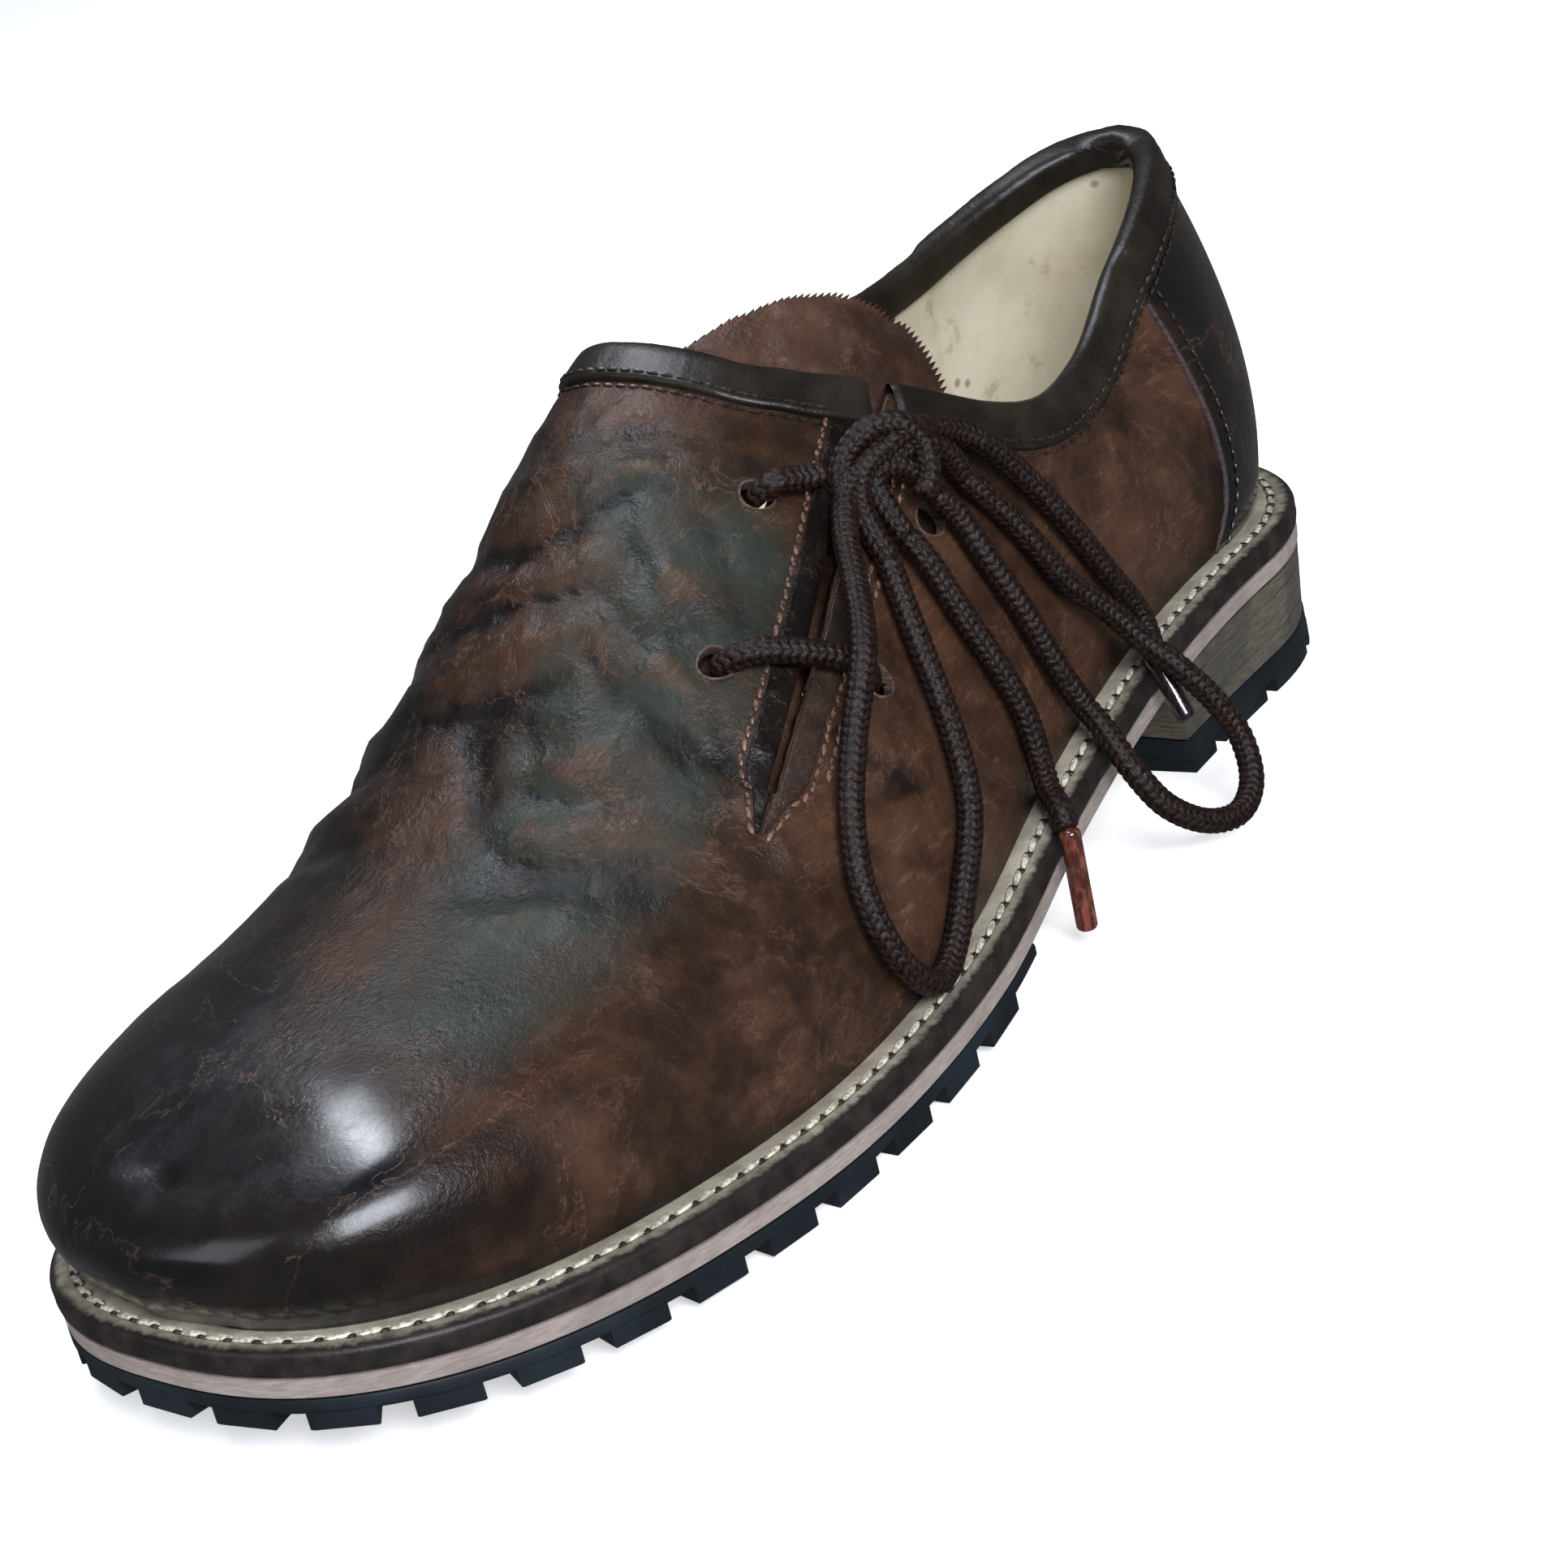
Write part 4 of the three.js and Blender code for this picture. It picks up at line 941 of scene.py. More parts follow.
def braid_cord(name):
    """Round braided cotton cord, waxed: dark brown plaits with a sparkle on their crowns, and painted shade,
    near black, in the grooves between them.
    """
    made, tree, shader = material(name, 0.36, specular=0.25)
    where = place_of(tree)
    weave = attribute(tree, "weave")
    plait = two_tones(tree, noise(tree, where, 1.2, 3, 0.7), 0.35, 0.7, "#150c09", "#2c1b16")
    # Painted shade: near black in the grooves between the plaits.
    colour = mix(tree, ramp(tree, weave, 0.55, 0.3), plait, linear("#040303"))
    tree.links.new(colour, shader.inputs["Base Color"])
    threads = node(tree, "ShaderNodeTexNoise", Vector=where, Scale=3.5, Detail=2.0).outputs["Fac"]
    bump(tree, shader, threads, 0.22, 0.8)
    return made


def plain_thread(name, light, dark, rough=0.5):
    """Waxed linen or polyester sewing thread: two plies that catch the light in turn."""
    made, tree, shader = material(name, rough, specular=0.5)
    where = place_of(tree)
    colour = two_tones(tree, noise(tree, where, 0.8, 2), 0.35, 0.65, dark, light)
    tree.links.new(colour, shader.inputs["Base Color"])
    bump(tree, shader, noise(tree, where, 0.35, 2), 0.1, 0.6)
    return made


def shrunk_film(name, light, dark):
    """Cellulose film rolled and glued on the lace's end: glossy, brown where the braid shows through."""
    made, tree, shader = material(name, 0.18, specular=0.6, coat=0.6, coat_roughness=0.08)
    streaks = place_of(tree, (1, 1, 0.25))
    colour = two_tones(tree, noise(tree, streaks, 0.9, 3, 0.6), 0.4, 0.65, dark, light)
    tree.links.new(colour, shader.inputs["Base Color"])
    bump(tree, shader, noise(tree, streaks, 0.7, 2), 0.12, 0.6)
    return made


# green is the tone of the painted sheen on top of the vamp; black is that of the dark toe and counter, and of
# the painted shade on the inner side and in the folds' troughs.
CALF = {
    "black": "#08090b", "dark": "#251811", "brown": "#442d20", "warm": "#583c2a", "crack": "#7a5744",
    "green": "#2c312b",
}
LOOKS = {}


def make_looks():
    LOOKS["upper"] = creased_calf("antiqued_calf", CALF, 0.36, zones=True)
    LOOKS["lining"] = lining_leather("natural_lining")
    LOOKS["binding"] = smooth_calf("binding_calf", "#16110d", "#28231c")
    painted = dict(CALF, dark="#0d0909", brown="#19120f", warm="#251a15", crack="#33241c")
    rolled = dict(CALF, dark="#1f1713", brown="#2f231d", warm="#44332a", crack="#5c463a")
    dyed = dict(CALF, dark="#2a1b14", brown="#463126", warm="#5f4434")
    LOOKS["slit_dark"] = creased_calf("painted_edge_calf", painted, 0.24)
    LOOKS["slit_light"] = creased_calf("rolled_edge_calf", rolled, 0.3)
    LOOKS["tongue"] = creased_calf("tongue_calf", dyed, 0.36)
    LOOKS["counter"] = cut_leather("raw_edge", ("#2a2022", "#493a3c", "#33282a"), 0, 0.6)
    LOOKS["raw"] = cut_leather("punched_edge", ("#33261f", "#5f4f46", "#43352c"), 0, 0.6)
    LOOKS["welt"] = welt_leather("natural_welt")
    LOOKS["midsole"] = cut_leather("midsole_leather", ("#7c7068", "#92867e", "#655a53"))
    LOOKS["stack"] = cut_leather("stacked_heel_leather", ("#3f3b32", "#5b5548", "#2e2a23"), 3.6)
    LOOKS["rubber"] = tread_rubber("nitrile_rubber")
    LOOKS["lace"] = braid_cord("waxed_braid")
    LOOKS["welt_thread"] = plain_thread("linen_thread", "#ded6c4", "#9c927e", 0.42)
    # Painted shade for the welt's stitch holes, drawn with the thread's shader.
    LOOKS["hole"] = plain_thread("painted_hole_shade", "#2a241c", "#120e0a", 0.6)
    LOOKS["seam_thread"] = plain_thread("seam_thread", "#3a2c27", "#120c0a", 0.3)
    LOOKS["slit_thread"] = plain_thread("slit_thread", "#7a5c4c", "#2d1f18", 0.36)
    LOOKS["aglet"] = shrunk_film("red_brown_film", "#6e3a2b", "#3a1b12")
    LOOKS["aglet_dark"] = shrunk_film("dark_film", "#2c2022", "#120c0d")


# The upper


def fold_height(points):
    """Height of the folds at each point. They waver, so that no fold runs quite straight."""
    height = np.zeros(len(points))
    points = points + 1.3 * np.stack([waves(points, 8, seed) for seed in (6, 7, 8)], axis=-1)
    for rise, breadth, line in FOLDS:
        places = spline(np.array([[a, b, 0.0] for a, b in line]), 4 * len(line) + 1)
        path, _ = skin(places[:, 0], places[:, 1])
        near = np.full(len(points), 1e9)
        share = np.zeros(len(points))
        for i in range(len(path) - 1):
            a, ab = path[i], path[i + 1] - path[i]
            t = np.clip(((points - a) @ ab) / ab.dot(ab), 0, 1)
            d = np.linalg.norm(points - a - t[:, None] * ab, axis=1)
            closer = d < near
            near = np.where(closer, d, near)
            share = np.where(closer, (i + t) / (len(path) - 1), share)
        fade = np.sin(math.pi * np.clip(share * 0.86 + 0.07, 0, 1)) ** 0.6
        height += FOLD_HEIGHT * rise * fade * np.exp(-((near / (FOLD_BREADTH * breadth)) ** 1.4))
    return height


def counter_offset(s, w):
    """How far the counter's leather stands out behind its line."""
    line = along(COUNTER_LINE, "s", np.abs(w))
    return COUNTER_STEP * (1 - smooth(-0.002, 0.002, s - line))


def ridges(points, size, octaves=4):
    """Branching wrinkles about one size apart, from about -1 to 1."""
    values = [fractal.ridged_multi_fractal(Vector(p) / size, 0.9, 2.1, octaves, 0.9, 2.0) for p in points]
    return np.clip(np.array(values) - 1.0, -1, 1.4)


def bend_of(s, w):
    """How much walking bends the leather: most across the vamp, a little on the quarter, not on the toe."""
    vamp = smooth(0.4, 0.5, s) * (1 - smooth(0.7, 0.84, s)) * (1 - 0.6 * smooth(0.5, 0.9, np.abs(w)))
    quarter = 0.3 * smooth(0.13, 0.2, s) * (1 - smooth(0.4, 0.5, s))
    return np.maximum(0.05 + 0.95 * vamp, quarter)


def crinkles(points, s, w):
    """Height of the finer wrinkles, which run across the shoe more than along it."""
    drawn = points * np.array([1.0, 0.62, 0.8])
    return (0.34 * ridges(drawn, 17) + 0.2 * waves(points, 12, 2)) * bend_of(s, w)


def calm(points):
    """The leather lies flat close round the eyelets, which the lace pulls down."""
    share = np.ones(len(points))
    for s, w in EYELETS.values():
        middle, _ = skin(np.array([s]), np.array([w]))
        share *= smooth(EYELET / 2 + 0.6, EYELET + 2.0, np.linalg.norm(points - middle, axis=1))
    return share


def leather_out(points, s, w):
    """How far the dressed leather stands out of the last, and the folds' relief: worn finish on their crests,
    painted shade in their troughs.
    """
    flat = calm(points)
    folds, wrinkles = fold_height(points) * flat, crinkles(points, s, w) * flat
    at_welt = 1 - smooth(0.9, 1.0, np.abs(w))
    rise = (folds + wrinkles) * at_welt + counter_offset(s, w) * (1 - smooth(0.985, 1.0, np.abs(w)))
    return rise, np.clip((folds + 0.9 * wrinkles) / 1.1, -1, 1)


def on_leather(points):
    """Height of the leather's face at points on the last near the slit and the eyelets."""
    s = points[:, 0] / LENGTH
    return (fold_height(points) + crinkles(points, s, np.full_like(s, 0.45))) * calm(points) + 0.1


def zones(points, s, w):
    """Dark toe and counter, darker towards the welt, painted shade on the inner side, and a grey-green
    painted sheen on top of the vamp.
    """
    toe = smooth(0.8, 0.95, s - 0.05 * w)
    back = 1 - smooth(-0.004, 0.002, s - along(COUNTER_LINE, "s", np.abs(w)))
    edge = smooth(0.93, 1.0, np.abs(w)) * 0.5
    blotch = 0.5 + 0.5 * waves(points, 34, 4)
    # Painted shade: the inner side is darkened.
    inner = smooth(-0.05, 0.28, -w) * 0.8
    dark = np.clip(0.92 * toe + 0.8 * back + edge + inner + 0.35 * smooth(0.55, 0.9, blotch), 0, 1)
    # Painted sheen: the top of the vamp, where the light falls, turns grey-green in soft patches.
    top = smooth(0.46, 0.52, s) * (1 - smooth(0.84, 0.93, s)) * smooth(-0.02, 0.1, w)
    top = top * (1 - smooth(0.36, 0.5, w))
    painted_sheen = top * (0.55 + 0.45 * smooth(0.25, 0.7, 0.5 + 0.5 * waves(points, 26, 5)))
    return dark, np.clip(painted_sheen * 0.92, 0, 1)


def even_turns(count):
    """Values of k whose rays are evenly spread over the upper."""
    k = np.linspace(-1, 1, 1201)
    low, high = rim_reach(k, 0.5), edge_reach(k)
    step = np.zeros(1200)
    for share in (0.0, 0.35, 0.7, 1.0):
        s, w = ray(k, low + (high - low) * share)
        p = last_point(np.clip(s, 0, 1), w)
        step = np.maximum(step, np.linalg.norm(np.diff(p, axis=0), axis=1))
    step = np.maximum(step, step[::-1])
    d = np.concatenate([[0], np.cumsum(step)])
    return np.interp(np.linspace(0, d[-1], count + 1), d, k)


def cut_slit(bm):
    """Cuts the slit with two planes along its edges, and one across its tip."""
    half_top, half_tip = SLIT_WIDTH / 2, SLIT_TIP_WIDTH / 2

    def local(p):
        d = np.array(p) - SLIT_ORIGIN
        return d @ SLIT_ACROSS, d @ SLIT_UP, d @ SLIT_OUT

    def near(face):
        u, v, n = local(face.calc_center_median())
        return abs(u) < 6 and -6 < v < SLIT_REACH and abs(n) < 22

    def cut(origin, normal):
        faces = [f for f in bm.faces if near(f)]
        parts = list({v for f in faces for v in f.verts}) + list({e for f in faces for e in f.edges}) + faces
        bmesh.ops.bisect_plane(bm, geom=parts, plane_co=Vector(origin), plane_no=Vector(normal), dist=1e-4)

    for side in (-1, 1):
        edge = SLIT_UP * SLIT_REACH + SLIT_ACROSS * side * (half_top - half_tip)
        cut(SLIT_ORIGIN + SLIT_ACROSS * side * half_tip, unit(np.cross(edge, SLIT_OUT) * side))
    cut(SLIT_ORIGIN, SLIT_UP)
    gone = []
    for face in bm.faces:
        if near(face):
            u, v, _ = local(face.calc_center_median())
            if v > 0 and abs(u) < float(slit_half(v)) - 1e-4:
                gone.append(face)
    bmesh.ops.delete(bm, geom=gone, context="FACES")


def punch(bm, centre, normal, radius):
    """Round hole: the faces inside go, and the edge that is left is drawn onto the circle."""
    centre, normal = Vector(centre), Vector(normal)

    def apart(p):
        d = p - centre
        deep = d.dot(normal)
        return (d - normal * deep).length, abs(deep)

    def within(reach):
        places = [(f, apart(f.calc_center_median())) for f in bm.faces]
        return [f for f, (far, deep) in places if far < reach and deep < 6]

    for _ in range(2):
        edges = list({e for f in within(radius + 1.6) for e in f.edges})
        bmesh.ops.subdivide_edges(bm, edges=edges, cuts=1, use_grid_fill=True)
    gone = within(radius)
    bmesh.ops.delete(bm, geom=gone, context="FACES")
    for vert in bm.verts:
        far, deep = apart(vert.co)
        if deep < 6 and far < radius + 0.9 and any(e.is_boundary for e in vert.link_edges):
            d = vert.co - centre
            flat = d - normal * d.dot(normal)
            vert.co += flat * (radius / flat.length - 1)


def make_upper(columns, rows):
    """The leather from the collar's rim to the welt, with its slit and eyelets, its folds and its wall."""
    turns = even_turns(columns)
    low, high = rim_reach(turns, 0.6), edge_reach(turns)

    def place(u, v):
        i = nearest(u, columns)
        s, w = ray(turns[i], low[i] + (high[i] - low[i]) * v)
        s = np.clip(s, 0, 1)
        points, _ = skin(s, w)
        rise, wear_and_shade = leather_out(points, s, w)
        dark, painted_sheen = zones(points, s, w)
        out, _ = skin(s, w, rise)
        # The lasted edge goes down into the seam with the welt
        out[:, 2] -= 0.9 * (v > 0.999)
        return out, {"wear_and_shade": wear_and_shade, "dark_zone": dark, "sheen_zone": painted_sheen, "bent": bend_of(s, w)}

    bm = grid(columns, rows, place)
    bmesh.ops.remove_doubles(bm, verts=bm.verts, dist=0.01)
    cut_slit(bm)
    for s, w in EYELETS.values():
        point, normal = skin(np.array([s]), np.array([w]))
        punch(bm, point[0], normal[0], EYELET / 2 + 0.25)
    bm.normal_update()
    probe = min(bm.faces, key=lambda f: (f.calc_center_median() - Vector((200, 0, 60))).length)
    turn_towards(bm, probe, (0, 0, 1))
    looks = [LOOKS["upper"], LOOKS["lining"], LOOKS["upper"]]
    piece = finish_piece(bm, "upper_leather", looks, ["upper"], sharp=60, merge=0.01)
    wall = give_wall(piece, 0.002)
    wall.use_rim = True
    wall.material_offset = 1
    wall.material_offset_rim = 0


def counter_rise(k, drop):
    """How far the counter lifts what lies on it, at k and this far below the rim."""
    s, _ = ray(wrap(k), rim_reach(wrap(k), drop))
    return COUNTER_STEP * (1 - smooth(0.12, 0.135, s))


BINDING_PROFILE = np.array([
    (7.6, -0.3), (7.6, 0.6), (7.35, 1.05), (6.6, 1.2), (5.2, 1.3), (3.6, 1.45), (2, 1.6), (0.6, 1.65),
    (-0.4, 1.4), (-1.1, 0.7), (-1.4, -0.3), (-1.35, -1.3), (-0.9, -2.3), (0.2, -3.0), (2, -3.3), (4.4, -3.3),
    (5.4, -3.1), (5.6, -2.6), (5.5, -1.9),
])
BINDING_COLUMNS = 420


def make_binding(columns):
    """Strip of finer leather rolled over the collar's edge, from one side of the slit round to the other."""
    k = np.linspace(0.05, 0.7, 400)
    p, _ = rim(k)
    u = (p - SLIT_ORIGIN) @ SLIT_ACROSS
    v = (p - SLIT_ORIGIN) @ SLIT_UP
    gap = slit_half(v)
    vamp_end = k[np.argmin(np.abs(u + gap + 0.2))]
    quarter_end = k[np.argmin(np.abs(u - gap - 0.2))]
    if abs(quarter_end - vamp_end) < 1e-3:
        raise RuntimeError("the slit doesn't reach the rim")
    first, last = max(vamp_end, quarter_end), 2 + min(vamp_end, quarter_end)
    profile = BINDING_PROFILE
    rows = len(profile) - 1
    ks = np.linspace(first, last, columns + 1)
    even_k = even(np.column_stack([rim(ks)[0], ks]), count=columns + 1)[:, 3]
    sheets = {drop: skin(*band_line(even_k, max(drop, 0.0))) for drop in set(profile[:, 0])}
    top, below = rim(even_k)[0], skin(*band_line(even_k, 2.0))[0]
    up = unit(top - below)
    wrinkle = 0.06 * waves(top, 2.6, 2) + 0.1 * waves(top, 9, 3)
    fold_in = 0.62
    end = np.minimum(np.arange(columns + 1), columns - np.arange(columns + 1)) / columns * line_length(top)
    cap = np.sqrt(np.clip(1 - (1 - np.clip(end / 1.2, 0, 1)) ** 2, 0, 1))
    raised = counter_rise(even_k, 3.0)

    def place(a, b):
        i = nearest(a, columns)
        j = nearest(b, rows)
        result = np.empty((len(a), 3))
        for row in range(rows + 1):
            pick = j == row
            at = i[pick]
            drop, out = profile[row]
            base, normal = sheets[drop]
            away = out + (raised[at] if out > 0 else 0) + (wrinkle[at] if out > 0.4 else 0)
            away = np.where(cap[at] < 1, -0.6 + (away + 0.6) * (fold_in + (1 - fold_in) * cap[at]), away)
            result[pick] = base[at] + normal[at] * away[:, None]
            if drop < 0:
                result[pick] += up[at] * -drop
        return result

    bm = grid(columns, rows, place)
    bmesh.ops.holes_fill(bm, edges=[e for e in bm.edges if e.is_boundary], sides=2 * len(profile))
    bmesh.ops.recalc_face_normals(bm, faces=bm.faces)
    finish_piece(bm, "collar_band", [LOOKS["binding"]], ["collar_binding"], sharp=50)
    return first, last


def collar_stitches(first, last):
    """Two seams round the collar: one on the binding and one on the leather below it, clear of the slit."""
    bm = bmesh.new()
    k = np.linspace(first + 0.004, last - 0.004, 700)
    raised = counter_rise(k, 7.0)
    for breadth, on_band in ((6.2, True), (8.6, False)):
        s, w = band_line(k, breadth)
        flat, _ = skin(s, w)
        out = 1.25 + raised if on_band else 0.1 + leather_out(flat, s, w)[0]
        path, normal = skin(s, w, out)
        across, up = (path - SLIT_ORIGIN) @ SLIT_ACROSS, (path - SLIT_ORIGIN) @ SLIT_UP
        free = (np.abs(across) > slit_outer(up) + 0.8) | (path[:, 1] < -20) | (path[:, 0] < 60)
        runs = np.split(np.arange(len(path)), np.where(np.diff(free.astype(int)) != 0)[0] + 1)
        longest = max((run for run in runs if free[run[0]]), key=len)
        path, normal = path[longest], normal[longest]
        stitch_row(bm, path, normal, COLLAR_STITCH, 2.7, 0.2)
    finish_piece(bm, "collar_stitches", [LOOKS["seam_thread"]], merge=0.0001)


def slit_outer(v):
    """How far from the slit's middle its edging reaches."""
    return slit_half(v) + 4.4 * np.clip((v + 8.5) / 13, 0, 1) ** 0.8


def make_slit_edges():
    """Edging of the slit: a dark painted strip on the vamp, a rolled lighter one on the quarter."""
    top, below = SLIT_RUN - 6.5, 7.4
    profile = np.array([
        (0, -0.2), (0, 0.5), (0.04, 0.8), (0.12, 0.95), (0.5, 1), (0.8, 1.05), (0.93, 0.9), (1.0, 0.35),
        (1.02, -0.6), (1.0, -2.2), (0.93, -2.8),
    ])
    columns, rows = 150, len(profile) - 1
    lanes = ((-1, "slit_edge_front", "slit_dark", 0.4), (1, "slit_edge_back", "slit_light", 0.6))
    for side, name, look, thick in lanes:
        def place(a, b):
            v = -below + (top + below) * a
            j = nearest(b, rows)
            inner, outer = slit_half(v) + 0.12, slit_outer(v)
            u = outer + (inner - outer) * profile[j, 0]
            out = np.where(profile[j, 1] > 0, profile[j, 1] * thick, profile[j, 1])
            out = out * (0.35 + 0.65 * np.clip((v + below) / 4, 0, 1))
            uneven = 0.14 * waves(np.stack([u, v, v * 0], -1), 4.5, 2 + side)
            wrinkled = out + uneven * (profile[j, 1] > 0.3)
            base, normal = by_slit(side * u, v)
            return base + normal * (wrinkled + on_leather(base))[:, None]

        bm = grid(columns, rows, place)
        bmesh.ops.recalc_face_normals(bm, faces=bm.faces)
        finish_piece(bm, name, [LOOKS[look]], sharp=60)
    bm = bmesh.new()
    v = np.linspace(-8.2, top + 1, 200)
    for side, extra in ((-1, 0.9), (1, 0.9), (1, 2.9)):
        use = v if extra < 1 else v[v > 6]
        base, normal = by_slit(side * (slit_outer(use) + extra), use)
        row = base + normal * on_leather(base)[:, None]
        stitch_row(bm, row, normal, SLIT_STITCH, 2.5, 0.15, tilt=0.2)
    finish_piece(bm, "slit_stitches", [LOOKS["slit_thread"]], merge=0.0001)


def make_counter_edge():
    """Raw edge of the counter, a raised strip across each side of the heel, with its seam behind it."""
    bm = bmesh.new()
    seam = bmesh.new()
    profile = np.array([
        (-0.8, -0.3), (-0.7, 0.3), (-0.35, 0.45), (0.2, 0.5), (0.6, 0.35), (0.8, -0.1), (0.85, -0.7),
    ])
    rows = len(profile) - 1
    for side in (-1, 1):
        w = np.linspace(0.995, 0.3, 160)
        s = along(COUNTER_LINE, "s", w)
        path, normal = skin(s, side * w, 0.55)
        keep = above_topline(path, BINDING_WIDTH + 0.3) < 0
        path, normal = path[keep], normal[keep]
        _, across, up = frames_along(path, normal)
        columns = len(path) - 1
        back = across * np.sign(across[:, :1].mean() or 1) * -1

        def place(a, b):
            i = nearest(a, columns)
            j = nearest(b, rows)
            slim = 0.72 * (0.55 + 0.45 * np.sin(math.pi * np.clip(a, 0.02, 0.98)) ** 0.5)[:, None]
            return path[i] - back[i] * profile[j, :1] * slim + up[i] * profile[j, 1:] * slim

        made = grid(columns, rows, place)
        bmesh.ops.recalc_face_normals(made, faces=made.faces)
        made.faces.ensure_lookup_table()
        turn_towards(made, made.faces[len(made.faces) // 2], (0, side, 0))
        join(bm, made)
        row, row_normal = skin(along(COUNTER_LINE, "s", w) - 0.0125, side * w, 0.85)
        keep = above_topline(row, BINDING_WIDTH + 0.3) < 0
        stitch_row(seam, row[keep], row_normal[keep], COUNTER_STITCH, 2.6, 0.2)
    finish_piece(bm, "counter_edge", [LOOKS["counter"]], sharp=60)
    finish_piece(seam, "counter_stitches", [LOOKS["seam_thread"]], merge=0.0001)


def make_eyelet_rims():
    """Raw rolled edges of the four punched holes."""
    bm = bmesh.new()
    profile = np.array([(-0.02, -2.0), (-0.05, -0.3), (0.05, 0.1), (0.25, 0.16), (0.42, 0.08), (0.5, -0.25)])
    rows = len(profile) - 1
    for s, w in EYELETS.values():
        point, normal = skin(np.array([s]), np.array([w]))
        point, normal = point[0], normal[0]
        side = unit(np.cross(normal, [0, 0, 1.0]))
        up = np.cross(normal, side)

        def place(a, b):
            j = nearest(b, rows)
            turn = 2 * math.pi * a
            r = EYELET / 2 + profile[j, 0] + 0.12 * np.sin(3 * turn + 1)
            flat = side * (np.cos(turn) * r)[:, None] + up * (np.sin(turn) * r)[:, None]
            lift = profile[j, 1] + on_leather(point[None] + flat)
            drop = (flat**2).sum(-1) * -0.006
            return point + flat + normal * (lift + drop)[:, None]

        made = grid(40, rows, place)
        tighten(made)
        join(bm, made)
    finish_piece(bm, "eyelet_rims", [LOOKS["raw"]], sharp=60)


def make_tongue(teeth):
    """Tongue with a pinked edge: it lies under the slit and rises out of the throat."""
    columns, rows = teeth * 8, 90
    shape = TONGUE

    def place(a, b):
        across = 2 * a - 1
        middle = shape["tip_w"] + (shape["top_w"] - shape["tip_w"]) * b
        half = shape["tip_half"] + (shape["top_half"] - shape["tip_half"]) * np.sin(b * math.pi / 2)
        saw = np.abs(np.mod(a * teeth * 2, 1) - 0.5) * 2
        tooth = (1.9 / LENGTH) * saw * smooth(0.955, 1.0, b)
        s = shape["front"] + (shape["back"] + shape["corner"] * across**2 - shape["front"]) * b + tooth
        w = middle + across * half
        base, _ = skin(s, w)
        free = smooth(0.4, 1.0, b)
        rise = 0.5 * waves(base, 17, 2) + 0.28 * waves(base, 8, 4) + 0.15 * waves(base, 4.5, 1)
        ridge = -0.9 * np.exp(-(((a - 0.5) * half * 2 * 105 + 4 * b) / 1.8) ** 2) * free
        points, _ = skin(s, w, -5.3 + rise * 0.8 + ridge)
        return points

    bm = grid(columns, rows, place)
    bmesh.ops.recalc_face_normals(bm, faces=bm.faces)
    bm.faces.ensure_lookup_table()
    turn_towards(bm, bm.faces[len(bm.faces) // 2], (0, 0.5, 0.8))
    piece = finish_piece(bm, "pinked_tongue", [LOOKS["tongue"]], ["tongue"], sharp=50)
    give_wall(piece, 0.0014)


# The bottom


def plan_sheet(columns, rows, inset, height, span=(0.0, 1.0), bm=None):
    """Sheet over the sole's plan at a height, or over a span of its length."""
    def place(a, b):
        s = span[0] + (span[1] - span[0]) * (1 - np.cos(math.pi * a)) / 2
        x, y = sole_point(s, 2 * b - 1, inset)
        return np.column_stack([x, y, height(x)])

    return grid(columns, rows, place, bm)


def make_insole():
    """Sock of lining leather that the foot stands on."""
    def height(x):
        return welt_top(x) + INSOLE - 0.2

    bm = plan_sheet(120, 40, SIDE_MARGIN + 2.4, height)
    bmesh.ops.recalc_face_normals(bm, faces=bm.faces)
    bm.faces.ensure_lookup_table()
    turn_towards(bm, bm.faces[0], (0, 0, 1))
    piece = finish_piece(bm, "sock_lining", [LOOKS["lining"]], ["insole"])
    give_wall(piece, 0.0025)


def edge_band(profile, heights, columns, bm=None, ring=sole_ring, values=None):
    """Band round the sole: each profile point has its inset and the share of its height between two lines."""
    profile = np.array(profile, float)
    rows = len(profile) - 1

    def place(a, b):
        j = nearest(b, rows)
        x, y = ring(a, profile[j, 0])
        low, high = heights
        z = low(x) + (high(x) - low(x)) * profile[j, 1]
        kept = {name: numbers[j] for name, numbers in (values or {}).items()}
        return np.column_stack([x, y, z]), kept

    return grid(columns, rows, place, bm)


def make_welt(columns):
    """Welt strip: beige and flat on top with a channel for the seam, its edge rounded and inked."""
    rows = [
        (11, 0.985, 0), (7.2, 0.985, 0), (5.0, 0.985, 0), (4.5, 0.96, 0.05), (4.2, 0.9, 0.1), (3.2, 0.9, 0.1),
        (2.9, 0.96, 0.12), (2.4, 0.985, 0.3), (1.5, 0.98, 0.5), (0.9, 0.955, 0.75), (0.45, 0.9, 1),
        (0.15, 0.82, 1), (0, 0.72, 1), (0.05, 0.5, 1), (0, 0.28, 1), (0.15, 0.1, 1), (0.5, 0.03, 1),
        (11, 0.03, 1),
    ]
    profile = [(inset, share) for inset, share, _ in rows]
    ink = np.array([row[2] for row in rows], float)

    def low(x):
        return seat(x) + MIDSOLE

    bm = edge_band(profile, (low, welt_top), columns, values={"ink": ink})
    tighten(bm, 0.004)
    finish_piece(bm, "welt_strip", [LOOKS["welt"]], ["welt"], sharp=50)
    u = np.linspace(0, 1, 1600)
    x, y = sole_ring(u, 3.7)
    step = 0.5
    path = even(np.column_stack([x, y, welt_top(x) - 0.35]), pitch=step)
    up = np.tile([0, 0, 1.0], (len(path), 1))
    seam = bmesh.new()
    stitch_row(seam, path, up, WELT_STITCH, WELT_PITCH, 0.15, tilt=0.16)
    finish_piece(seam, "welt_stitches", [LOOKS["welt_thread"]], merge=0.0001)
    # Painted shade: dark marks where the stitches go into the welt.
    holes = bmesh.new()
    shift = path[int(WELT_PITCH / 2 / step) :]
    stitch_row(holes, shift, up[: len(shift)], WELT_HOLE, WELT_PITCH, 0.3, tilt=0.5)
    finish_piece(holes, "welt_holes", [LOOKS["hole"]], merge=0.0001)


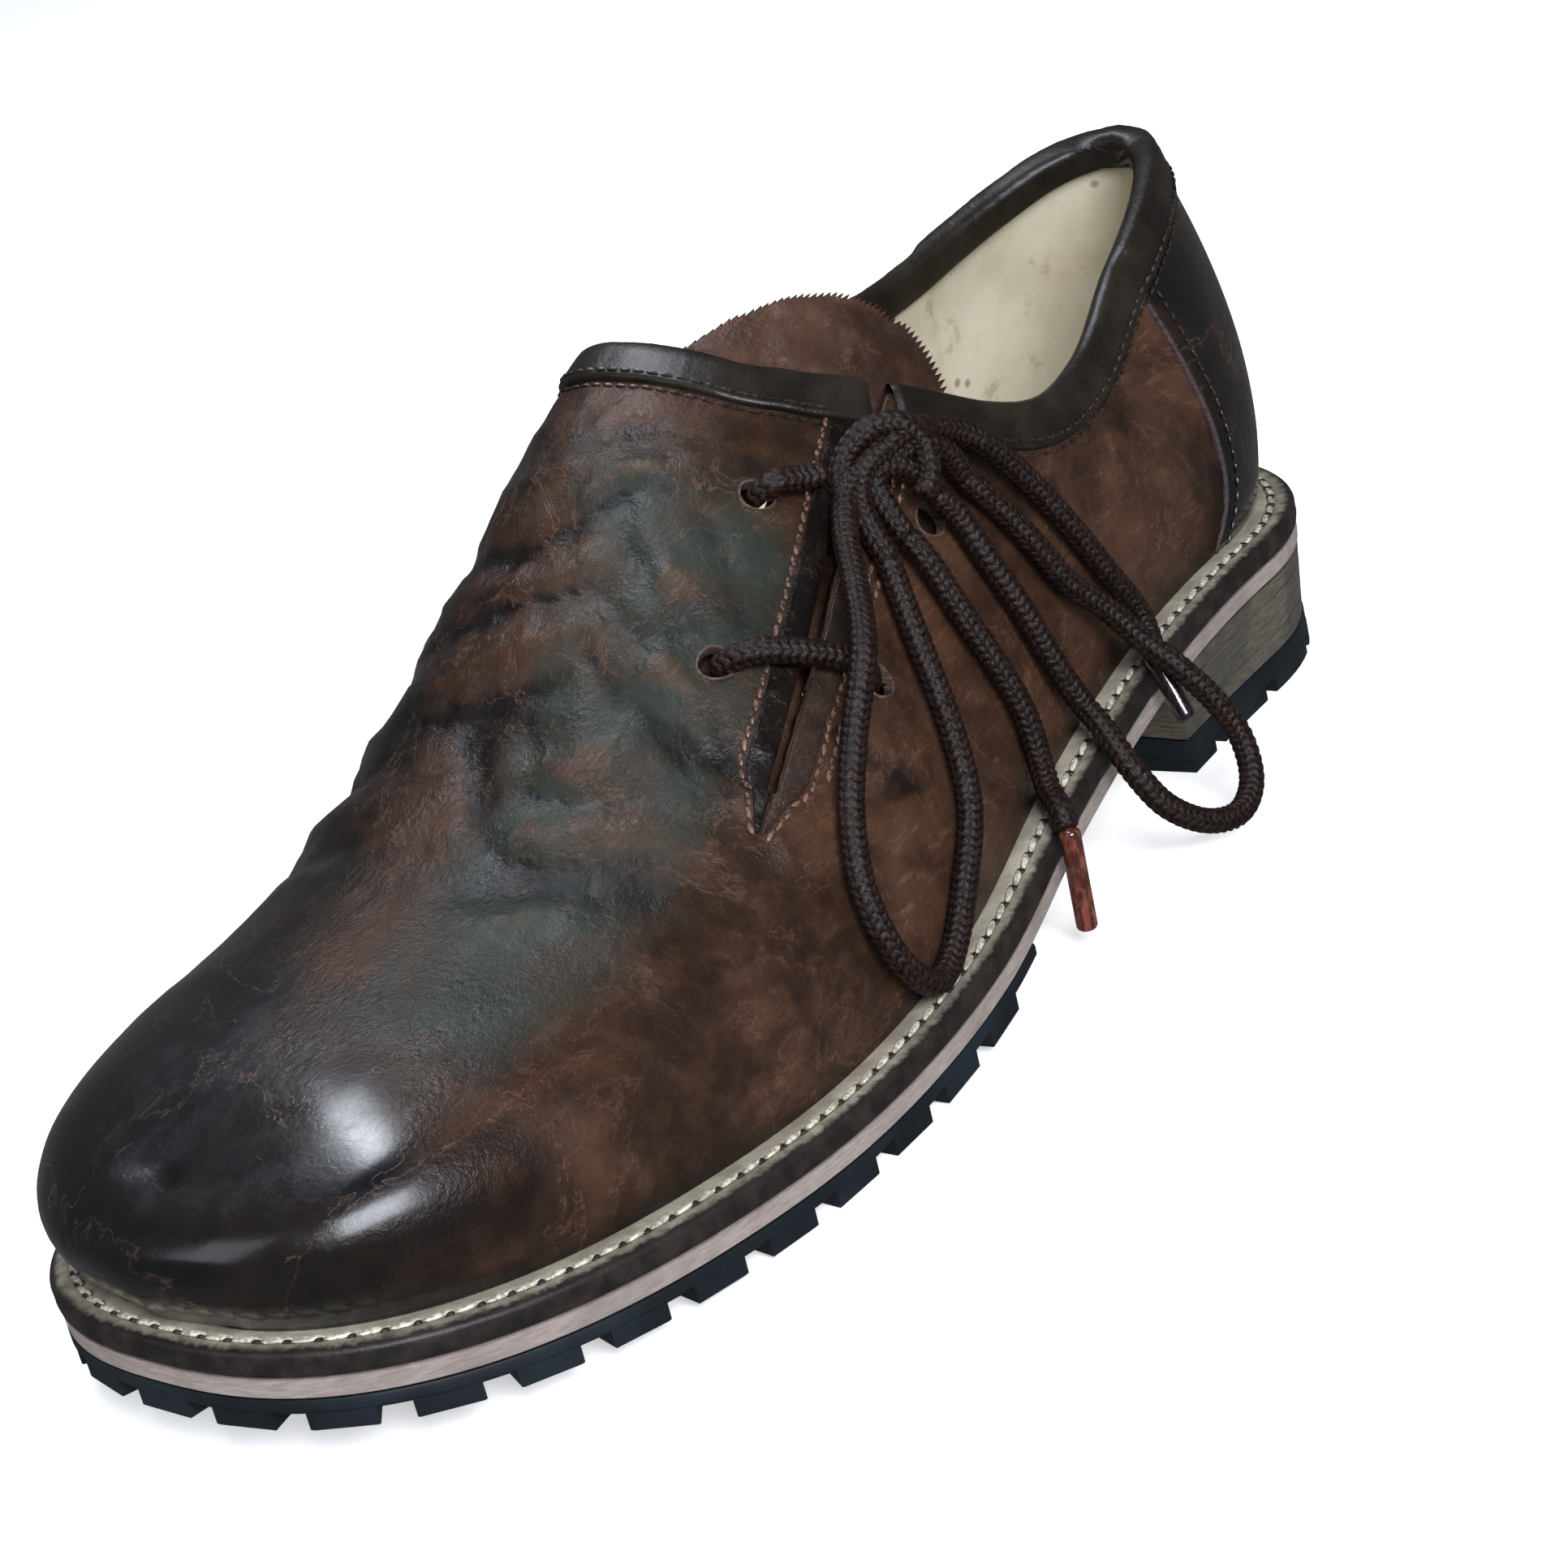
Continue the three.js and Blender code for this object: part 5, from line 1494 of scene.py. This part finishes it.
def make_midsole(columns):
    """Layer of sole leather under the welt, with its own face underneath."""
    profile = [(30, 0.97), (0.8, 0.97), (0.45, 0.9), (0.35, 0.5), (0.45, 0.1), (0.8, 0.02)]
    bm = edge_band(profile, (seat, lambda x: seat(x) + MIDSOLE), columns)
    plan_sheet(140, 40, 0.8, lambda x: seat(x) + 0.02 * MIDSOLE, bm=bm)
    tighten(bm)
    finish_piece(bm, "midsole_board", [LOOKS["midsole"]], ["midsole"], sharp=40)


def edge_walk(low, high, around):
    """Edge of the sole walked by its length, with the way in from it."""
    k = np.linspace(-1, 1, 801)
    deep = np.sin((1 - np.abs(k)) * math.pi / 2)
    s = low + (high - low) * (deep if around == "toe" else 1 - deep)
    x, y = sole_point(s, np.where(k < 0, -1.0, 1.0), 0.4)
    points = np.column_stack([x, y])
    d = distances(points)

    def at(q):
        return np.array([np.interp(q, d, points[:, 0]), np.interp(q, d, points[:, 1])])

    def place(q, depth):
        way = at(q + 2) - at(q - 2)
        way = way / np.linalg.norm(way)
        turn = 1 if around == "toe" else -1
        return at(q) + np.array([-way[1], way[0]]) * turn * depth

    return d[-1], place


def plan_area(outline):
    """Twice the area inside a plan outline, below 0 when it runs clockwise."""
    x, y = np.array(outline, float).T
    return float((x * np.roll(y, -1) - np.roll(x, -1) * y).sum())


def block(bm, outline, low, high, bevel=0.35):
    """Solid on a plan outline, between two heights that follow the sole, its foot rounded."""
    made = bmesh.new()
    verts = [made.verts.new((p[0], p[1], float(high(p[0])))) for p in outline]
    face = made.faces.new(verts)
    if face.normal.z < 0 or plan_area(outline) < 0:
        bmesh.ops.reverse_faces(made, faces=[face])
    grown = bmesh.ops.extrude_face_region(made, geom=[face])
    foot = [g for g in grown["geom"] if isinstance(g, bmesh.types.BMVert)]
    for vert in foot:
        vert.co.z = float(low(vert.co.x))
    bmesh.ops.recalc_face_normals(made, faces=made.faces)
    edges = [e for e in made.edges if all(v in foot for v in e.verts)]
    bmesh.ops.bevel(made, geom=edges, offset=bevel, segments=1, profile=0.5, affect="EDGES", material=-1)
    join(bm, made)


def lug_outline(place, at, width, length):
    """Plan of one lug of the edge, with a waist."""
    profile = [(0, 0.5), (0.5, 0.48), (0.6, 0.3), (0.7, 0.46), (1, 0.4)]
    right = [place(at + half * width, depth * length) for depth, half in profile]
    left = [place(at - half * width, depth * length) for depth, half in profile][::-1]
    return right + left


def cross_outline(x, y, span):
    """Plan of one cross with pointed arms."""
    half, arm, points = span / 2, span * 0.15, []
    for quarter in range(4):
        c, n = math.cos(quarter * math.pi / 2), math.sin(quarter * math.pi / 2)
        for u, v in ((arm, arm), (half * 0.72, arm), (half, 0), (half * 0.72, -arm)):
            points.append((x + u * c + v * n, y + u * n - v * c))
    return points


def make_half_sole(columns):
    """Rubber half sole: a slab with lugs along its edge and crosses in its middle."""

    def root(x):
        return ground(x) + LUG_DEPTH

    def roof(x):
        return seat(x) - 0.05

    def sunk(x):
        return root(x) + 0.5

    def ring(u, inset):
        half = np.where(u < 0.5, 1 - 2 * u, 2 * u - 1)
        s = HALF_SOLE_BACK + (1 - HALF_SOLE_BACK) * np.cos(math.pi / 2 * half)
        return sole_point(s, np.where(u < 0.5, 1.0, -1.0), inset)

    profile = [(25, 0.99), (0.5, 0.99), (0.3, 0.8), (0.3, 0.2), (0.6, 0.0)]
    bm = edge_band(profile, (root, roof), columns, ring=ring)
    plan_sheet(90, 30, 0.6, root, (HALF_SOLE_BACK, 1.0), bm)

    def back_edge(a, b):
        x, y = sole_point(np.full_like(a, HALF_SOLE_BACK), 2 * a - 1, 0.5)
        return np.column_stack([x, y, root(x) + (roof(x) - root(x)) * b])

    grid(20, 2, back_edge, bm)
    tighten(bm)
    length, place = edge_walk(HALF_SOLE_BACK + 0.025, 1, "toe")
    count = int(length // LUG_PITCH)
    for i in range(count):
        outline = lug_outline(place, length * (i + 0.5) / count, LUG_WIDTH, LUG_LENGTH)
        block(bm, outline, ground, sunk)
    for row in (-1, 0, 1):
        s, end = (0.62, 0.84) if row == 0 else (0.58, 0.8)
        while s < end:
            y = float(centre_line(s)) + row * CROSS_SPAN * CROSS_ROWS
            block(bm, cross_outline(s * LENGTH, y, CROSS_SPAN), ground, sunk)
            s += CROSS_PITCH / LENGTH
    rubber = [LOOKS["rubber"]]
    finish_piece(bm, "lugged_half_sole", rubber, ["half_sole"], sharp=30, merge=0.001)


def breast_end(inset, back=0.3):
    """Share of the length where the heel ends in front, so that its breast is straight at any inset."""
    return (HEEL_BREAST * LENGTH + 0.5 - (1 + back) * inset) / (LENGTH - 2 * inset)


def heel_band(profile, heights, columns, bm=None):
    """Band round the heel and across its breast."""
    profile = np.array(profile, float)
    rows = len(profile) - 1

    def place(a, b):
        j = nearest(b, rows)
        inset = profile[j, 0]
        flank = 0.42
        left, right = a < flank, a > 1 - flank
        half = np.where(left, a / flank, np.where(right, (1 - a) / flank, 1.0))
        s = breast_end(inset) * (1 - np.cos(math.pi / 2 * half))
        across = np.where(left, 1.0, np.where(right, -1.0, 1 - 2 * (a - flank) / (1 - 2 * flank)))
        x, y = sole_point(s, across, inset)
        low, high = heights
        return np.column_stack([x, y, low(x) + (high(x) - low(x)) * profile[j, 1]])

    return grid(columns, rows, place, bm)


def level(height):
    """The same height everywhere."""
    return lambda x: np.full_like(np.asarray(x, float), height)


def make_heel():
    """Heel of stacked leather with seams between its lifts, and the rubber lift with pads along its edge."""
    heights = np.linspace(0.99, 0.02, 26)
    seams = np.abs(np.mod(heights * 4.0, 1) - 0.02) < 0.06
    profile = [
        (0.6 + HEEL_TAPER * (1 - share) + (0.22 if seam else 0), share) for share, seam in zip(heights, seams)
    ]
    bm = heel_band([(20, 0.995)] + profile, (level(HEEL_LIFT), seat), 260)
    tighten(bm)
    finish_piece(bm, "heel_layers", [LOOKS["stack"]], ["heel_stack"], sharp=40)
    inset = HEEL_TAPER + 0.4
    foot = inset + 0.2
    slab = (level(LUG_DEPTH), level(HEEL_LIFT - 0.05))
    bm = heel_band([(18, 0.99), (inset + 0.3, 0.99), (inset, 0.9), (inset, 0.1), (foot, 0)], slab, 220)
    plan_sheet(60, 24, foot, level(LUG_DEPTH), (0.0, breast_end(foot)), bm)
    tighten(bm)
    within = inset + CORE_INSET
    end = breast_end(within, 0.04)
    forth = 1 - np.cos(np.linspace(0, 1, 24) * math.pi / 2)
    back = 1 - np.cos(np.linspace(1, 0, 24) * math.pi / 2)
    core = [sole_point(s, 1.0, within) for s in end * forth]
    core += [sole_point(s, -1.0, within) for s in (end * back)[:-1]]
    core = [(float(x), float(y)) for x, y in core]
    tread = (level(0.0), level(LUG_DEPTH + 0.4))
    block(bm, core, *tread)
    length, place = edge_walk(0, HEEL_BREAST - 0.005, "heel")
    count = int(length // PAD_PITCH)
    for i in range(count + 1):
        low = 0 if i == 0 else length * (i - 0.5) / count + PAD_GAP
        high = length if i == count else length * (i + 0.5) / count - PAD_GAP
        steps = np.linspace(low, high, 7)
        outer = [place(q, PAD_REACH[0]) for q in steps]
        inner = [place(q, PAD_REACH[1]) for q in steps[::-1]]
        block(bm, [(float(x), float(y)) for x, y in outer + inner], *tread)
    finish_piece(bm, "rubber_lift", [LOOKS["rubber"]], ["heel_lift"], sharp=30, merge=0.001)


# The lace


def lace_bars():
    """Lace across the slit: out of one eyelet, over the edges, and down into the other or into the knot."""

    def over(start, end, rise):
        k = np.linspace(0, 1, 9)
        s = start[0] + (end[0] - start[0]) * k
        w = start[1] + (end[1] - start[1]) * k
        points, _ = skin(s, w, np.array(rise, float))
        return braided(spline(points, int(line_length(points) / LACE_STEP)))

    rise = (-2.4, 1.4, 2.9, 3.0, 3.0, 3.0, 2.9, 1.4, -2.4)
    bm = over(EYELETS["vamp_lower"], EYELETS["quarter_lower"], rise)
    finish_piece(bm, "bar_lower", [LOOKS["lace"]], ["lace_bar_lower"], merge=0.0001)
    bm = over(EYELETS["vamp_upper"], (0.449, 0.42), (-2.4, 1.2, 2.7, 3.0, 3.0, 3.1, 3.4, 3.8, 4.2))
    finish_piece(bm, "bar_upper", [LOOKS["lace"]], ["lace_bar_upper"], merge=0.0001)


KNOT_STRANDS = (
    ((136.6, 30, 69), (136.0, 26.6, 74.5), (133.0, 23.4, 79.0), (128.5, 22.8, 82.5), (124, 24.4, 84.2)),
    ((143.5, 27.2, 74.7), (136.5, 23, 79), (130.5, 22.2, 81.5), (125.5, 23.4, 83.0)),
    ((129.4, 28.4, 70), (129.8, 26.2, 74.5), (128.8, 23.8, 79), (126, 22.6, 83)),
    ((118.8, 27.6, 73), (120.4, 26.4, 77.2), (123.6, 24.6, 80.4), (128, 22.6, 81.4)),
    ((109, 26.8, 72.0), (111.4, 26.4, 77.2), (115.6, 25.8, 80.6), (120.5, 25, 82), (125, 24, 81.5)),
    ((114.4, 24.4, 83), (112.6, 24.5, 82.4), (117, 25, 84.4), (122, 24.6, 84.6), (126.6, 23.4, 82.6)),
    ((133.2, 24.4, 73.6), (133.6, 20.8, 78.5), (130.6, 19.4, 83.4), (125.4, 21.6, 87.2), (120.6, 25, 86.6),
     (118.6, 27, 82.8), (120.2, 28.4, 78), (123.6, 28.6, 74.6)),
)


def make_knot():
    """Bow's knot: the strands of the loops and ends drawn together, and one strand wrapped over them."""
    bm = bmesh.new()
    for line in KNOT_STRANDS:
        braided(spline(line, int(line_length(np.array(line, float)) / LACE_STEP)), bm)
    return finish_piece(bm, "bow_knot", [LOOKS["lace"]], ["lace_knot"], merge=0.0001)


def make_lace():
    """Loops and ends on their routes, with the tips, which the ends carry."""
    knot = make_knot()
    for name, (start, end) in AGLETS.items():
        start, end = np.array(start, float), np.array(end, float)
        path = start + (end - start) * np.linspace(-0.12, 1, 60)[:, None]
        bm = tube(path, AGLET / 2, 20)
        look = "aglet" if name == "aglet_front" else "aglet_dark"
        finish_piece(bm, name + "_tip", [LOOKS[look]], [name], merge=0.0001)
    for name, route in LACE_ROUTES.items():
        length = line_length(spline(route, 400))
        path = spline(route, int(length / LACE_STEP))
        bm = braided(path)
        piece = finish_piece(bm, name + "_cord", [LOOKS["lace"]], [name], merge=0.0001)
        [float(c) for c in to_frame(path[0])]
        ([tuple(float(c) for c in p) for p in to_frame(path[:: max(1, len(path) // 120)])] +
                 [tuple(float(c) for c in to_frame(path[-1]))])


# Stage


CAMERA_PLACE = (0.40667, 0.37532, 0.27454)
CAMERA_TURN = (65.7118, 12.731, 126.5408)
CAMERA_LENS = 82.494

# Name, place, power, breadth and length of each light
LIGHTS = (
    ("key", (0.7, 1.15, 1.0), 38, 0.8, 0.8),
    ("strip", (-0.2, -0.45, 1.2), 9, 0.16, 0.9),
    ("fill", (1.1, -0.4, 0.9), 3.5, 0.8, 0.8),
)
SHOE_MIDDLE = Vector((0, 0, 0.05))


def make_stage():
    """Pale floor that lights the shoe a little, a dim world, three soft lights and the photo's camera."""
    scene = bpy.context.scene
    bm = bmesh.new()
    bmesh.ops.create_grid(bm, x_segments=1, y_segments=1, size=4)
    mesh = bpy.data.meshes.new("floor")
    bm.to_mesh(mesh)
    bm.free()
    made, _, shader = material("pale_floor", 0.9, specular=0.1)
    shader.inputs["Base Color"].default_value = linear("#f4f4f4")
    shader.inputs["Emission Color"].default_value = linear("#ffffff")
    shader.inputs["Emission Strength"].default_value = 0.5
    mesh.materials.append(made)
    floor = bpy.data.objects.new("floor", mesh)
    bpy.context.collection.objects.link(floor)
    floor.visible_glossy = False
    world = bpy.data.worlds.new("soft_studio")
    world.use_nodes = True
    world.node_tree.nodes["Background"].inputs["Color"].default_value = linear("#f2f5f8")
    world.node_tree.nodes["Background"].inputs["Strength"].default_value = 0.12
    scene.world = world
    scene.view_settings.view_transform = "Standard"
    camera_data = bpy.data.cameras.new("camera")
    camera_data.lens = CAMERA_LENS
    camera_data.sensor_width = 36
    camera_data.clip_start = 0.01
    camera = bpy.data.objects.new("camera", camera_data)
    camera.location = CAMERA_PLACE
    camera.rotation_euler = [math.radians(a) for a in CAMERA_TURN]
    bpy.context.collection.objects.link(camera)
    scene.camera = camera
    for name, place, power, breadth, length in LIGHTS:
        data = bpy.data.lights.new(name, "AREA")
        data.energy = power
        data.color = linear("#eef4ff")[:3]
        data.shape = "RECTANGLE"
        data.size = breadth
        data.size_y = length
        light = bpy.data.objects.new(name, data)
        light.location = place
        light.rotation_euler = (Vector(place) - SHOE_MIDDLE).to_track_quat("Z", "Y").to_euler()
        bpy.context.collection.objects.link(light)


# Add-on


class ShoeSizes(bpy.types.PropertyGroup):
    """Resolution and counts that a user would change."""

    upper_columns: bpy.props.IntProperty(
        name="Upper columns", description="Faces round the upper", default=400, min=60, subtype="UNSIGNED"
    )
    upper_rows: bpy.props.IntProperty(
        name="Upper rows", description="Faces from collar to welt", default=104, min=20, subtype="UNSIGNED"
    )
    ring_columns: bpy.props.IntProperty(
        name="Sole columns", description="Faces round the sole", default=420, min=60, subtype="UNSIGNED"
    )
    teeth: bpy.props.IntProperty(
        name="Teeth", description="Teeth of the tongue's pinked edge", default=38, min=6, subtype="UNSIGNED"
    )


class ShoeOperator:
    bl_options = {"REGISTER", "UNDO"}


class SHOE_OT_stage(ShoeOperator, bpy.types.Operator):
    """Makes the floor, the light and the camera"""

    bl_idname = "shoe.stage"
    bl_label = "Stage"

    def execute(self, context):
        make_stage()
        return {"FINISHED"}


class SHOE_OT_lace(ShoeOperator, bpy.types.Operator):
    """Makes the lace: its bars, knot, loops, ends and tips"""

    bl_idname = "shoe.lace"
    bl_label = "Lace"

    def execute(self, context):
        lace_bars()
        make_lace()
        return {"FINISHED"}


class SHOE_OT_upper(ShoeOperator, bpy.types.Operator):
    """Makes the upper with its counter edge and eyelets"""

    bl_idname = "shoe.upper"
    bl_label = "Upper"

    def execute(self, context):
        sizes = context.scene.shoe_sizes
        make_upper(sizes.upper_columns, sizes.upper_rows)
        make_counter_edge()
        make_eyelet_rims()
        return {"FINISHED"}


class SHOE_OT_edges(ShoeOperator, bpy.types.Operator):
    """Makes the collar's binding and the slit's edging with their stitches"""

    bl_idname = "shoe.edges"
    bl_label = "Binding and edging"

    def execute(self, context):
        first, last = make_binding(BINDING_COLUMNS)
        collar_stitches(first, last)
        make_slit_edges()
        return {"FINISHED"}


class SHOE_OT_tongue(ShoeOperator, bpy.types.Operator):
    """Makes the tongue and the sock lining"""

    bl_idname = "shoe.tongue"
    bl_label = "Tongue and sock lining"

    def execute(self, context):
        make_tongue(context.scene.shoe_sizes.teeth)
        make_insole()
        return {"FINISHED"}


class SHOE_OT_bottom(ShoeOperator, bpy.types.Operator):
    """Makes the welt, the midsole, the half sole and the heel"""

    bl_idname = "shoe.bottom"
    bl_label = "Bottom"

    def execute(self, context):
        columns = context.scene.shoe_sizes.ring_columns
        make_welt(columns)
        make_midsole(columns)
        make_half_sole(columns)
        make_heel()
        return {"FINISHED"}


class SHOE_PT_panel(bpy.types.Panel):
    bl_idname = "SHOE_PT_panel"
    bl_label = "Leather shoe"
    bl_space_type = "VIEW_3D"
    bl_region_type = "UI"
    bl_category = "Shoe"

    def draw(self, context):
        sizes = context.scene.shoe_sizes
        for name in ("upper_columns", "upper_rows", "ring_columns", "teeth"):
            self.layout.prop(sizes, name)
        for operator in OPERATORS:
            self.layout.operator(operator.bl_idname)


OPERATORS = (SHOE_OT_stage, SHOE_OT_lace, SHOE_OT_upper, SHOE_OT_edges, SHOE_OT_tongue, SHOE_OT_bottom)
CLASSES = (ShoeSizes,) + OPERATORS + (SHOE_PT_panel,)


def register():
    for one in CLASSES:
        bpy.utils.register_class(one)
    bpy.types.Scene.shoe_sizes = bpy.props.PointerProperty(type=ShoeSizes)


def unregister():
    del bpy.types.Scene.shoe_sizes
    for one in reversed(CLASSES):
        bpy.utils.unregister_class(one)


def main():
    register()
    make_looks()
    bpy.ops.shoe.stage()
    bpy.ops.shoe.lace()
    bpy.ops.shoe.upper()
    bpy.ops.shoe.edges()
    bpy.ops.shoe.tongue()
    bpy.ops.shoe.bottom()


if __name__ == "__main__":
    main()
